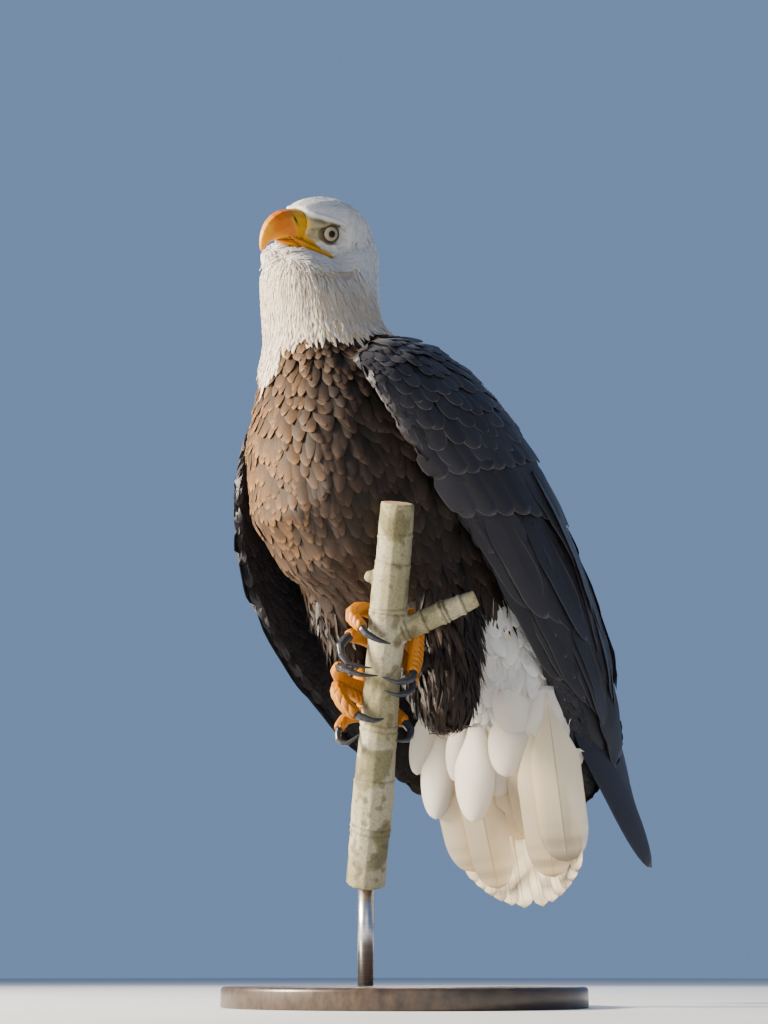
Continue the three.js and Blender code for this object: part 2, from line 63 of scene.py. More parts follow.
def unit(v):
    v = np.asarray(v, float)
    return v / np.maximum(np.linalg.norm(v, axis=-1, keepdims=True), 1e-9)


def dot(a, b):
    return (a * b).sum(-1, keepdims=True)


def mix(a, b, t):
    return a + (b - a) * t


def smooth(edge0, edge1, x):
    t = np.clip((x - edge0) / (edge1 - edge0), 0, 1)
    return t * t * (3 - 2 * t)


def hill(x, middle, width):
    return np.exp(-(((x - middle) / width) ** 2))


def tinge(tone, colour, amount):
    """tone with some of colour over it: amount is 0 to 1, one per place."""
    return mix(tone, colour, np.clip(amount, 0, 1)[:, None])


# ---- camera, light and sky ---------------------------------------------------------------------------
CAMERA_PLACE = (1.05895, -1.08795, 0.030)
CAMERA_PITCH = 18.1
CAMERA_YAW = 45.0
CAMERA_LENS = 49.9
LIGHT_AIM = (0.0, 0.0, 0.5)
SKY_COLOUR = (0.33, 0.51, 0.88, 1)
SKY_STRENGTH = 0.52

camera = bpy.data.cameras.new("camera")
camera.lens = CAMERA_LENS
camera.clip_start = 0.05
camera_object = bpy.data.objects.new("camera", camera)
camera_object.location = CAMERA_PLACE
camera_object.rotation_euler = (math.radians(90 + CAMERA_PITCH), 0, math.radians(CAMERA_YAW))
bpy.context.scene.collection.objects.link(camera_object)
bpy.context.scene.camera = camera_object


def area_light(name, place, size, power, colour):
    light = bpy.data.lights.new(name, "AREA")
    light.shape, light.size = "DISK", size
    light.energy, light.color = power, colour
    thing = bpy.data.objects.new(name, light)
    thing.location = place
    thing.rotation_euler = (Vector(LIGHT_AIM) - Vector(place)).to_track_quat("-Z", "Y").to_euler()
    bpy.context.scene.collection.objects.link(thing)


area_light("key", (-1.7, -2.5, 1.35), 1.0, 640, (1.0, 0.88, 0.70))
area_light("fill", (2.4, -1.6, 0.7), 2.2, 16, (1.0, 0.92, 0.80))
area_light("rim", (-1.8, 2.2, 1.8), 1.2, 45, (0.92, 0.95, 1.0))

world = bpy.data.worlds.new("world")
bpy.context.scene.world = world
world.use_nodes = True
world.node_tree.nodes["Background"].inputs["Color"].default_value = SKY_COLOUR
world.node_tree.nodes["Background"].inputs["Strength"].default_value = SKY_STRENGTH


# ---- meshes from arrays, and arrays from meshes --------------------------------------------------------
def mesh_object(name, points, polygons):
    """points in the bird's frame; polygons is a list of (n, k) index arrays."""
    mesh = bpy.data.meshes.new(name)
    mesh.vertices.add(len(points))
    mesh.vertices.foreach_set("co", row(points).astype(np.float32).ravel())
    sizes = np.concatenate([np.full(len(p), p.shape[1], np.int32) for p in polygons])
    loops = np.concatenate([p.ravel() for p in polygons]).astype(np.int32)
    mesh.loops.add(len(loops))
    mesh.loops.foreach_set("vertex_index", loops)
    mesh.polygons.add(len(sizes))
    starts = np.concatenate([[0], np.cumsum(sizes)[:-1]]).astype(np.int32)
    mesh.polygons.foreach_set("loop_start", starts)
    mesh.update(calc_edges=True)
    mesh.validate()
    mesh.polygons.foreach_set("use_smooth", np.ones(len(sizes), bool))
    thing = bpy.data.objects.new(name, mesh)
    bpy.context.scene.collection.objects.link(thing)
    return thing


def rings(count, around):
    """Polygons of count rings of around points each: the quads between them, then a cap at each end."""
    index = np.arange(count * around).reshape(count, around)
    after = np.roll(index, -1, axis=1)
    quads = np.stack([index[:-1], after[:-1], after[1:], index[1:]], -1).reshape(-1, 4)
    return [quads, index[:1, ::-1], index[-1:]]


def vertex_colour(thing, name, values):
    """values is (n, 3) and is stored on the vertices as a colour called name."""
    layer = thing.data.attributes.new(name, "FLOAT_COLOR", "POINT")
    rgba = np.ones((len(values), 4), np.float32)
    rgba[:, :3] = values
    layer.data.foreach_set("color", rgba.ravel())


def wear(thing, material, slot, *nodes):
    """Gives a piece its material and ties it to the frame, in the place of the named CAD nodes."""
    thing.data.materials.append(material)
    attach(thing, "root")
    if nodes:
        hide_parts(*nodes)


def tinted_piece(name, points, tone, polygons, material, slot, *nodes):
    thing = mesh_object(name, points, polygons)
    vertex_colour(thing, "tint", np.clip(np.broadcast_to(tone, points.shape), 0, 1))
    wear(thing, material, slot, *nodes)


def read_out(items, key, width=1, kind=float):
    """What key holds on each of Blender's items, as rows of width numbers."""
    values = np.zeros(len(items) * width, kind)
    items.foreach_get(key, values)
    return values.reshape(-1, width)


def rebuilt(names, voxel, grow, softening):
    """One closed mesh in the bird's frame round the named CAD nodes: (points, normals, quads)."""
    made = bmesh.new()
    for name in names:
        made.from_mesh(NODES[name].data)
    bmesh.ops.remove_doubles(made, verts=made.verts, dist=2e-6)
    made.transform(Matrix.Scale(1 / MM, 4))
    made.transform(Matrix.Translation(-Vector(BIRD_ZERO)))
    made.normal_update()
    for vertex in made.verts:
        vertex.co += vertex.normal * grow
    mesh = bpy.data.meshes.new("rebuilt")
    made.to_mesh(mesh)
    made.free()
    thing = bpy.data.objects.new("rebuilt", mesh)
    bpy.context.scene.collection.objects.link(thing)
    remesh = thing.modifiers.new("remesh", "REMESH")
    remesh.mode, remesh.voxel_size = "VOXEL", voxel
    soften = thing.modifiers.new("soften", "SMOOTH")
    soften.factor, soften.iterations = 0.5, softening
    shown = thing.evaluated_get(bpy.context.evaluated_depsgraph_get())
    result = bpy.data.meshes.new_from_object(shown)
    bpy.data.objects.remove(thing)
    points, normals = read_out(result.vertices, "co", 3), read_out(result.vertices, "normal", 3)
    quads = read_out(result.loops, "vertex_index", kind=np.int32).reshape(-1, 4)
    bpy.data.meshes.remove(result)
    return points, normals, quads


class Guide:
    """A smooth surface that feathers are laid along."""

    def __init__(self, names, voxel=3.0, grow=0.5, softening=6):
        self.points, self.normals, self.quads = rebuilt(names, voxel, grow, softening)
        self.tree = BVHTree.FromPolygons(self.points.tolist(), self.quads.tolist())

    def nearest(self, places):
        """The surface point, outward normal and quad nearest each place."""
        shape = places.shape
        hits = [self.tree.find_nearest(p) for p in places.reshape(-1, 3).tolist()]
        spots = np.array([h[0] for h in hits], float)
        quads = np.array([h[2] for h in hits])
        corners = self.quads[quads]
        weight = 1 / (np.linalg.norm(self.points[corners] - spots[:, None], axis=2) + 0.3)
        normals = unit((self.normals[corners] * weight[..., None]).sum(1))
        return spots.reshape(shape), normals.reshape(shape), quads.reshape(shape[:-1])

    def scatter(self, spacing, keep, tries=7):
        """Roots at least spacing(points) apart where keep(points, normals) is true."""
        a, b, c, d = (self.points[self.quads[:, i]] for i in range(4))
        area = np.linalg.norm(np.cross(c - a, d - b), axis=1) / 2
        middles, middle_normals = (a + b + c + d) / 4, self.normals[self.quads].mean(1)
        wanted = keep(middles, middle_normals)
        gap = spacing(middles)
        density = np.where(wanted, tries * area / gap**2, 0)
        count = RNG.poisson(density)
        which = np.repeat(np.arange(len(area)), count)
        u, v = RNG.random((2, len(which), 1))
        spots = (a[which] * (1 - u) + b[which] * u) * (1 - v) + (d[which] * (1 - u) + c[which] * u) * v
        order = RNG.permutation(len(spots))
        spots, which, gap = spots[order], which[order], gap[which[order]]
        tree = KDTree(len(spots))
        for i, p in enumerate(spots.tolist()):
            tree.insert(p, i)
        tree.balance()
        gone = np.zeros(len(spots), bool)
        chosen = []
        for i, p in enumerate(spots.tolist()):
            if gone[i]:
                continue
            chosen.append(i)
            for _, j, _ in tree.find_range(p, gap[i]):
                gone[j] = True
        return spots[chosen], which[chosen]


FLESH = ["head", "neck", "trunk", "rump", "thigh_left", "thigh_right", "wing_left", "wing_right"]
LEGS = ["shank_left", "shank_right"]
body = Guide(FLESH + LEGS)
face = Guide(["head", "neck"], voxel=1.5, grow=0.3, softening=7)

# Which CAD node each quad of the guides lies on.
owner_names = FLESH + LEGS
owner_points, owner_faces, owner_of_face = [], [], []
for index, name in enumerate(owner_names):
    mesh = NODES[name].data
    offset = sum(len(p) for p in owner_points)
    owner_points.append(bird(read_out(mesh.vertices, "co", 3)))
    for polygon in mesh.polygons:
        owner_faces.append([offset + v for v in polygon.vertices])
        owner_of_face.append(index)
owner_tree = BVHTree.FromPolygons(np.concatenate(owner_points).tolist(), owner_faces)
for guide in (body, face):
    middles = guide.points[guide.quads].mean(1)
    guide.owner = np.array([owner_of_face[owner_tree.find_nearest(p)[2]] for p in middles.tolist()])


def owned_by(guide, *names):
    return np.isin(guide.owner, [owner_names.index(n) for n in names])


# ---- the head's own frame: x left, y back, z up, zero between the eyes --------------------------------
HEAD = {"place": (-3.5, -43, 503), "yaw": 4, "pitch": 19.5, "roll": 30, "scale": 1.05}
HEAD_TURN = np.array(
    Matrix.Rotation(math.radians(HEAD["yaw"]), 3, "Z")
    @ Matrix.Rotation(math.radians(HEAD["pitch"]), 3, "X")
    @ Matrix.Rotation(math.radians(HEAD["roll"]), 3, "Y")
)


def from_head(points):
    return np.asarray(points, float) @ HEAD_TURN.T * HEAD["scale"] + np.array(HEAD["place"])


def to_head(points):
    return (np.asarray(points, float) - np.array(HEAD["place"])) @ HEAD_TURN / HEAD["scale"]


# ---- the lie of the feathers: places and the way feathers point there ---------------------------------
def both_sides(rows):
    return rows + [((-p[0], *p[1:]), (-d[0], *d[1:])) for p, d in rows if p[0]]


HEAD_LIE = both_sides([
    ((0, -28, 18), (0, 0.7, 0.7)),
    ((0, -5, 32), (0, 1, 0.25)),
    ((0, 25, 35), (0, 1, -0.15)),
    ((0, 50, 24), (0, 0.7, -0.7)),
    ((0, 68, -5), (0, 0.15, -1)),
    ((22, -26, 8), (0.3, 0.95, 0.1)),
    ((30, -8, 18), (0.25, 1, 0.2)),
    ((36, 22, 14), (0, 1, -0.1)),
    ((37, 18, -8), (0, 1, -0.25)),
    ((30, -4, -16), (0.25, 0.9, -0.4)),
    ((18, -32, -18), (0.35, 0.8, -0.5)),
    ((38, 38, -24), (0, 0.6, -0.8)),
    ((0, -44, -22), (0, 0.75, -0.65)),
    ((0, -12, -34), (0, 0.6, -0.8)),
    ((22, 0, -38), (0.1, 0.5, -0.85)),
    ((0, -48, -31), (0.0, 0.95, -0.35)),
    ((0, -62, -27), (0.0, 0.5, -0.85)),
    ((0, -60, -46), (0.2, -0.1, -1.0)),
    ((24, -40, -40), (0.3, 0.0, -1.0)),
])
BODY_LIE = both_sides([
    ((0, -98, 430), (0, 0.05, -1)),
    ((55, -30, 420), (0.25, 0.1, -1)),
    ((0, 34, 420), (0, 0.45, -1)),
    ((0, -120, 350), (0, -0.15, -1)),
    ((75, -60, 340), (0.35, 0.1, -1)),
    ((0, 90, 370), (0, 0.75, -0.7)),
    ((0, -135, 260), (0, 0.1, -1)),
    ((80, -80, 250), (0.2, 0.3, -1)),
    ((0, -90, 180), (0, 0.4, -1)),
    ((80, -20, 150), (0.05, 0.4, -1)),
    ((0, -10, 100), (0, 0.75, -0.8)),
    ((0, 180, 330), (0, 0.65, -0.8)),
    ((0, 270, 220), (0, 0.5, -0.9)),
    ((0, 310, 80), (0, 0.15, -1)),
    ((0, 110, 60), (0, 0.6, -0.9)),
    ((40, 180, 30), (0, 0.35, -1)),
    ((0, 215, -20), (0, 0.25, -1)),
    ((0, 250, -90), (0, 0.05, -1)),
])
LEG_LIE = both_sides([
    ((48, 40, 180), (0, 0.15, -1)),
    ((48, 80, 100), (0, 0.2, -1)),
    ((46, 104, 0), (0, 0.02, -1)),
])

# The folded wings: leading edge, then dorsal edge, from the shoulder to the tip.
WINGS = {
    "left": [
        (82, -62, 312, 46, 16, 366), (110, -60, 274, 56, 80, 358), (121, -26, 226, 60, 156, 324),
        (120, 44, 168, 58, 224, 268), (114, 136, 88, 56, 288, 190), (97, 238, -16, 56, 344, 98),
        (54, 322, -112, 58, 396, 4),
    ],
    "right": [
        (-80, -50, 306, -48, 16, 366), (-96, -60, 262, -58, 86, 362), (-107, -60, 190, -60, 146, 318),
        (-110, -34, 100, -58, 204, 238), (-105, 44, 8, -56, 258, 144), (-95, 148, -68, -56, 300, 52),
        (-82, 240, -108, -58, 334, -26),
    ],
}
PRIMARY_TIPS = {"left": (70, 438, -174), "right": (-58, 372, -140)}


def catmull(rows, at):
    """A smooth curve through rows, read at positions from 0 to len(rows) - 1."""
    rows = np.asarray(rows, float)
    padded = np.concatenate([[2 * rows[0] - rows[1]], rows, [2 * rows[-1] - rows[-2]]])
    at = np.clip(np.asarray(at, float), 0, len(rows) - 1)
    i = np.minimum(at.astype(int), len(rows) - 2)
    t = (at - i)[..., None]
    p0, p1, p2, p3 = padded[i], padded[i + 1], padded[i + 2], padded[i + 3]
    square, cube = 2 * p0 - 5 * p1 + 4 * p2 - p3, 3 * p1 - p0 - 3 * p2 + p3
    return 0.5 * (2 * p1 + (p2 - p0) * t + square * t**2 + cube * t**3)


def wing_place(side, station, share):
    """A place beside the wing's outer face: station 0 to 6 from shoulder to tip, share 0 in front."""
    edges = catmull(WINGS[side], station)
    share = np.asarray(share, float)[..., None]
    out = np.array([SIDES[side], 0.0, 0.0]) * 60 * np.sin(np.pi * np.clip(share, 0, 1)) ** 0.5
    return mix(edges[..., :3], edges[..., 3:], share) + out


def wing_lie(side):
    """The way that the wing's feathers point, along both its edges."""
    rows = []
    for station in np.arange(0, 6.1, 0.5):
        ahead = catmull(WINGS[side], min(station + 0.3, 6)) - catmull(WINGS[side], max(station - 0.3, 0))
        here = catmull(WINGS[side], station)
        rows += [(here[:3], ahead[:3]), (here[3:], ahead[3:])]
    return rows


def lie_field(rows, reach):
    """Places, unit ways, and how far in mm a row's say goes."""
    return np.array([place for place, _ in rows], float), unit([way for _, way in rows]), reach


LIES = {
    "head": lie_field(HEAD_LIE, 16),
    "body": lie_field(BODY_LIE, 45),
    "leg": lie_field(LEG_LIE, 40),
    "left": lie_field(wing_lie("left"), 30),
    "right": lie_field(wing_lie("right"), 30),
}


def lie(points, kind):
    """The way that feathers point at each place."""
    if kind == "head":
        points = to_head(points)
    places, ways, reach = LIES[kind]
    away = ((points[:, None] - places[None]) ** 2).sum(2)
    weight = np.exp(-(away - away.min(1, keepdims=True)) / (2 * reach**2))
    flow = unit((weight[..., None] * ways[None]).sum(1))
    return flow @ HEAD_TURN.T if kind == "head" else flow


# ---- feathers ----------------------------------------------------------------------------------------
THICKNESS = 0.35
PATCH = 0.003  # side of a feather's square on the UV map
PIECE_LIMIT = 190000  # triangles
VANE_SCALE = 0.01  # brings a feather's mm into a colour's 0 to 1
BLADE_CROWD = 1.25

# Outlines, which outline() reads.
SOFT_TIP = {"taper": 0.35, "sharp": 1.6, "blunt": 1.3, "base": 0.6}
LANCET = {"taper": 0.30, "sharp": 1.3, "blunt": 1.15, "base": 0.6}
SCALE = {"taper": 0.40, "sharp": 1.7, "blunt": 1.6}
SHAGGY = {"taper": 0.3, "sharp": 1.4, "blunt": 1.1}
PETAL = {"taper": 0.45, "sharp": 2.0, "blunt": 2.0, "base": 0.45}
PLUME = {"taper": 0.25, "sharp": 1.2, "blunt": 1.0, "base": 0.5}
COVERT = {"taper": 0.52, "sharp": 2.2, "blunt": 2.0, "base": 0.45}
RECTRIX = {"shoulder": 0.5, "base": 0.55, "taper": 0.74, "sharp": 2.4, "blunt": 2.1}
LONG_COVERT = {**RECTRIX, "shoulder": 0.42, "base": 0.04}
FLIGHT = {"shoulder": 0.3, "base": 0.6, "taper": 0.7, "sharp": 2.2, "blunt": 1.9}
PRIMARY = {"shoulder": 0.3, "base": 0.6, "taper": 0.55, "sharp": 2.2, "blunt": 1.7}


def outline(v, shoulder=0.45, base=0.4, taper=0.5, sharp=2.0, blunt=2.0):
    """Half width along a feather, from 0 at the root to 1 at the tip.

    It widens from base up to shoulder and narrows from taper on.
    """
    rise = base + (1 - base) * smooth(0, shoulder, v)
    late = np.clip((v - taper) / (1 - taper), 0, 1)
    return np.maximum(rise * (1 - late**sharp) ** (1 / blunt), 0.03)


def tip_rows(count, crowd=1.5):
    """Shares of a feather's length, closer together towards its tip."""
    return 1 - (1 - np.linspace(0, 1, count)) ** crowd


def ahead_and_across(centres, normals):
    ahead = unit(np.gradient(centres, axis=1))
    return ahead, unit(np.cross(ahead, normals))


class Flock:
    """Feathers gathered for one piece."""

    def __init__(self, name, *stands_for):
        self.name, self.stands_for = name, stands_for
        self.batches = []

    def add(self, centres, normals, halves, shares, root_uv, colour, fringe=None, edges=None, camber=0.12,
            roll=None, columns=5, fringe_width=0.22, fringe_tip=0.06, thickness=THICKNESS, shaft=None):
        """Solid feathers, each a row of closed rings along its centres.

        centres and normals are (n, r, 3), halves (n, r), colour and fringe (n, 3) or (n, r, 3).
        """
        n, r, _ = centres.shape
        ahead, across = ahead_and_across(centres, normals)
        up = unit(np.cross(across, ahead))
        if roll is not None:
            sin, cos = np.sin(roll)[:, None, None], np.cos(roll)[:, None, None]
            across, up = across * cos + up * sin, up * cos - across * sin
        inner = 1 - fringe_width
        quill = 0.4 if shaft is None else 0.05
        u = {3: [-1, 0, 1], 5: [-1, -inner, 0, inner, 1], 7: [-1, -inner, -quill, 0, quill, inner, 1]}
        u = np.array(u[columns])
        if edges is None:
            base = centres[:, :, None] + across[:, :, None] * (halves[..., None] * u)[..., None]
        else:
            low, high = edges
            side = np.where(u[None, None, :, None] < 0, low[:, :, None], high[:, :, None])
            base = mix(centres[:, :, None], side, np.abs(u)[None, None, :, None])
        arch = camber * halves[..., None] * (1 - u**2)
        top = base + up[:, :, None] * arch[..., None]
        keel = thickness * (1 - 0.6 * np.abs(u[1:-1]))[::-1]
        under = top[:, :, -2:0:-1] - up[:, :, None] * keel[None, None, :, None]
        ring = np.concatenate([top, under], 2)
        ring_u = np.concatenate([u, u[-2:0:-1]])
        size = len(ring_u)
        tone = self.painted(colour, fringe, shares, ring_u, (n, r, size, 3), inner, fringe_tip)
        if shaft is not None:
            tone[:, :, columns // 2] = shaft[:, None]
        # On each vertex, its place on the feather in mm: sideways, along, and a number for the feather.
        vane = np.empty((n, r, size, 3))
        vane[..., 0] = ring_u * halves[..., None]
        length = np.linalg.norm(np.diff(centres, axis=1), axis=2).sum(1)
        vane[..., 1] = (shares[None] * length[:, None])[..., None]
        vane[..., 2] = RNG.random((n, 1, 1))
        uv = np.empty((n, r, size, 2))
        uv[..., 0] = root_uv[:, 0, None, None] + ring_u * PATCH / 2
        uv[..., 1] = root_uv[:, 1, None, None] + (shares[None, :, None] - 0.5) * PATCH
        quads, *caps = rings(r, size)
        self.batches.append({
            "points": ring.reshape(n, -1, 3),
            "tint": np.clip(tone, 0, 1).reshape(n, -1, 3),
            "vane": vane.reshape(n, -1, 3) * VANE_SCALE + [0.5, 0, 0],
            "uv": uv.reshape(n, -1, 2),
            "rim": np.tile(np.isin(np.arange(size), [0, columns - 1]), (n, r)),
            "polygons": (quads, np.concatenate(caps)),
            "triangles": 2 * len(quads) + 2 * (size - 2),
        })

    @staticmethod
    def painted(colour, fringe, shares, ring_u, shape, inner, fringe_tip):
        """The colour of every vertex, with the fringe along both edges and round the tip."""
        def spread(values):
            values = values[:, None] if values.ndim == 2 else values
            return np.broadcast_to(values, (*shape[:2], 3))[:, :, None]

        tone = np.broadcast_to(spread(colour), shape).copy()
        if fringe is None:
            return tone
        edge = smooth(inner - 0.02, 1, np.abs(ring_u)) * smooth(0.25, 0.6, shares)[None, :, None]
        tip = smooth(1 - fringe_tip - 0.02, 1 - fringe_tip * 0.4, shares)[None, :, None]
        return mix(tone, spread(fringe), np.maximum(edge, tip)[..., None])

    def finish(self, material, slot):
        """Joined meshes, each of at most PIECE_LIMIT triangles."""
        pieces, room = [[]], PIECE_LIMIT
        for batch in self.batches:
            start, count = 0, len(batch["points"])
            while start < count:
                take = min(count - start, room // batch["triangles"])
                if take:
                    pieces[-1].append((batch, slice(start, start + take)))
                    room -= take * batch["triangles"]
                    start += take
                else:
                    pieces.append([])
                    room = PIECE_LIMIT
        for number, piece in enumerate(pieces):
            name = self.name if len(pieces) == 1 else f"{self.name}_{number + 1}"
            self.join(name, piece, material, slot, () if number else self.stands_for)

    @staticmethod
    def join(name, piece, material, slot, stands_for):
        polygons, base = [], 0
        for batch, part in piece:
            count, size = batch["points"][part].shape[:2]
            starts = base + np.arange(count) * size
            for local in batch["polygons"]:
                polygons.append((local[None] + starts[:, None, None]).reshape(-1, local.shape[1]))
            base += count * size

        def gathered(key, width):
            return np.concatenate([batch[key][part].reshape(-1, width) for batch, part in piece])

        thing = mesh_object(name, gathered("points", 3), polygons)
        vertex_colour(thing, "tint", gathered("tint", 3))
        vertex_colour(thing, "vane", gathered("vane", 3))
        mesh = thing.data
        corners = read_out(mesh.loops, "vertex_index", kind=np.int32)[:, 0]
        layer = mesh.uv_layers.new(name="OFBake")
        layer.data.foreach_set("uv", gathered("uv", 2)[corners].astype(np.float32).ravel())
        rims = gathered("rim", 1)[:, 0]
        ends = read_out(mesh.edges, "vertices", 2, np.int32)
        sharp = mesh.attributes.new("sharp_edge", "BOOLEAN", "EDGE")
        sharp.data.foreach_set("value", rims[ends[:, 0]] & rims[ends[:, 1]])
        wear(thing, material, slot, *stands_for)


def grow(flock, guide, roots, kind, length, width, depth, tip=0.0, rows=7, columns=5, shape=None,
         root_uv=None, colour=None, fringe=None, hug=True, wander=0.08, tilt=0.07, lean=0.0, camber=0.12,
         lift=None, noise=0.3, reach=6.0, **extra):
    """Feathers rooted at depth mm under the guide, following the lie, with tips at tip mm over it.

    A feather that runs more than reach mm off the guide's edge goes on straight. One that hugs has its
    edges laid on the guide too.
    """
    n = len(roots)
    if n == 0:
        return
    length, width = np.broadcast_to(length, n), np.broadcast_to(width, n)
    shares = tip_rows(rows)
    place = roots
    turned = RNG.normal(0, wander, n)[:, None]
    way, loose = None, np.zeros(n, bool)
    centres, normals = np.empty((n, rows, 3)), np.empty((n, rows, 3))
    free = np.zeros((n, rows), bool)
    for k in range(rows):
        spot, normal, _ = guide.nearest(place)
        if way is not None:
            loose = loose | (np.linalg.norm(spot - place, axis=1) > reach)
            spot = np.where(loose[:, None], place, spot)
            normal = np.where(loose[:, None], normals[:, k - 1], normal)
        flow = lie(spot, kind)
        flow = unit(flow - dot(flow, normal) * normal)
        flow = unit(flow + np.cross(normal, flow) * turned)
        if way is not None:
            carried = unit(way - dot(way, normal) * normal)
            hang = unit(mix(way, lie(spot, kind), 0.5))
            flow = np.where(loose[:, None], hang, unit(mix(carried, flow, 0.45)))
        way = flow
        centres[:, k], normals[:, k], free[:, k] = spot, normal, loose
        if k < rows - 1:
            place = spot + flow * (length * (shares[k + 1] - shares[k]))[:, None]
    halves = width[:, None] / 2 * outline(shares, **shape)[None]
    tip, depth = np.broadcast_to(tip, n)[:, None], np.broadcast_to(depth, n)[:, None]
    raise_by = mix(-depth, tip, shares**0.85) + RNG.normal(0, noise, n)[:, None] * shares
    if lift is not None:
        raise_by = raise_by + lift[:, None] * shares**2.5
    swing = np.tan(RNG.normal(0, tilt, n) + lean)[:, None] * halves
    edges, roll = None, None
    if hug:
        across = ahead_and_across(centres, normals)[1] * halves[..., None]
        edges = []
        for turn in (-1, 1):
            edge, edge_normal, _ = guide.nearest(centres + across * turn)
            off = ((np.linalg.norm(edge - centres - across * turn, axis=2) > reach) | free)[..., None]
            edge = np.where(off, centres + across * turn, edge)
            rise = raise_by + swing * turn - 0.1 * halves
            edges.append(edge + np.where(off, normals, edge_normal) * rise[..., None])
    else:
        roll = RNG.normal(0, tilt * 2, n) + lean
    centres = centres + normals * raise_by[..., None]
    flock.add(centres, normals, halves, shares, root_uv, colour, fringe, edges, camber, roll, columns,
              **extra)


def blade(flock, start, end, face, width, root_uv, colour, shape, rows, bow=0.0, turn=None, **extra):
    """Stiff feathers from start to end, arrays of (n, 3), bowed towards face by bow of their length."""
    start, end = np.atleast_2d(start).astype(float), np.atleast_2d(end).astype(float)
    n = len(start)
    shares = tip_rows(rows, BLADE_CROWD)
    face = unit(np.broadcast_to(face, (n, 3)))
    length = np.linalg.norm(end - start, axis=1)
    centres = start[:, None] + (end - start)[:, None] * shares[None, :, None]
    centres = centres + face[:, None] * (bow * length[:, None] * np.sin(np.pi * shares))[..., None]
    halves = np.broadcast_to(width, n)[:, None] / 2 * outline(shares, **shape)[None]
    normals = np.broadcast_to(face[:, None], (n, rows, 3))
    flock.add(centres, normals, halves, shares, root_uv, colour, roll=turn, columns=7, **extra)


# ---- materials ---------------------------------------------------------------------------------------
class Nodes:
    """Shorthand for building a material's node tree."""

    def __init__(self, name):
        self.material = bpy.data.materials.new(name)
        self.material.use_nodes = True
        self.tree = self.material.node_tree
        self.shader = self.tree.nodes["Principled BSDF"]

    def add(self, kind, settings=None, **inputs):
        node = self.tree.nodes.new(kind)
        for key, value in (settings or {}).items():
            setattr(node, key, value)
        for key, value in inputs.items():
            self.put(node, key, value)
        return node

    def put(self, node, key, value):
        if isinstance(key, str) and key.startswith("in"):
            socket = node.inputs[int(key[2:])]
        else:
            socket = node.inputs[key.replace("_", " ")]
        if isinstance(value, bpy.types.NodeSocket):
            self.tree.links.new(value, socket)
        else:
            socket.default_value = value

    def attribute(self, name):
        return self.add("ShaderNodeAttribute", {"attribute_name": name})

    def maths(self, operation, *values):
        node = self.add("ShaderNodeMath", {"operation": operation})
        for i, value in enumerate(values):
            self.put(node, f"in{i}", value)
        return node.outputs[0]

    def noise(self, vector, scale, detail=3.0, rough=0.5):
        node = self.add("ShaderNodeTexNoise", Scale=scale, Detail=detail, Roughness=rough, Vector=vector)
        return node.outputs["Fac"]

    def ramp(self, value, stops):
        node = self.add("ShaderNodeValToRGB", Fac=value)
        elements = node.color_ramp.elements
        while len(elements) < len(stops):
            elements.new(0.5)
        for element, (position, colour) in zip(elements, stops):
            element.position = position
            element.color = (*colour, 1) if len(colour) == 3 else colour
        return node.outputs["Color"]

    def blend(self, kind, factor, a, b):
        node = self.add("ShaderNodeMix", {"data_type": "RGBA", "blend_type": kind})
        self.put(node, "in0", factor)
        self.put(node, "in6", a)
        self.put(node, "in7", b)
        return node.outputs[2]

    def bump(self, height, strength, distance):
        node = self.add("ShaderNodeBump", Height=height, Strength=strength, Distance=distance)
        self.put(self.shader, "Normal", node.outputs["Normal"])

    def position(self):
        return self.add("ShaderNodeTexCoord").outputs["Object"]

    def set(self, **inputs):
        for key, value in inputs.items():
            self.put(self.shader, key, value)
        return self.material


def feather_material(name, rough, barbs, contrast, sheen, sheen_tint, soft=0.0):
    """Barbs slant out from the shaft; vane holds the place on the feather in mm, times VANE_SCALE."""
    m = Nodes(name)
    tint, vane = m.attribute("tint"), m.attribute("vane")
    parts = m.add("ShaderNodeSeparateXYZ", Vector=vane.outputs["Vector"])
    side = m.maths("ABSOLUTE", m.maths("SUBTRACT", parts.outputs[0], 0.5))
    slant = m.maths("SUBTRACT", parts.outputs[1], m.maths("MULTIPLY", side, 1.1))
    line = m.add("ShaderNodeCombineXYZ")
    m.put(line, "X", m.maths("MULTIPLY", slant, barbs))
    m.put(line, "Y", m.maths("MULTIPLY", side, barbs * 0.12))
    m.put(line, "Z", m.maths("MULTIPLY", parts.outputs[2], 37.0))
    fine = m.noise(line.outputs[0], 1.0, 3.0, 0.65)
    shade = m.maths("MULTIPLY_ADD", m.maths("SUBTRACT", fine, 0.5), contrast, 1.0)
    broad = m.maths("SUBTRACT", m.noise(m.position(), 55.0, 2.0), 0.5)
    shade = m.maths("MULTIPLY", shade, m.maths("MULTIPLY_ADD", broad, contrast * 0.5, 1.0))
    grey = m.add("ShaderNodeCombineXYZ", X=shade, Y=shade, Z=shade)
    colour = m.blend("MULTIPLY", 1.0, tint.outputs["Color"], grey.outputs[0])
    m.bump(fine, 0.35, 0.0006)
    return m.set(Base_Color=colour, Roughness=rough, Sheen_Weight=sheen, Sheen_Roughness=0.4,
                 Sheen_Tint=(*sheen_tint, 1), Specular_IOR_Level=0.25, Subsurface_Weight=soft,
                 Subsurface_Radius=(1.0, 0.85, 0.7), Subsurface_Scale=0.004)


def mottled(name, scale, detail, rough, stops, bump=None, stretch=None, tinted=True, **shader):
    """Colours from a noise over the piece, times the piece's own tint if it has one."""
    m = Nodes(name)
    place = m.position()
    if stretch:
        place = m.add("ShaderNodeMapping", Vector=place, Scale=stretch).outputs[0]
    fine = m.noise(place, scale, detail, rough)
    colour = m.ramp(fine, stops)
    if bump:
        m.bump(fine, *bump)
    if tinted:
        colour = m.blend("MULTIPLY", 1.0, m.attribute("tint").outputs["Color"], colour)
    return m.set(Base_Color=colour, **shader)


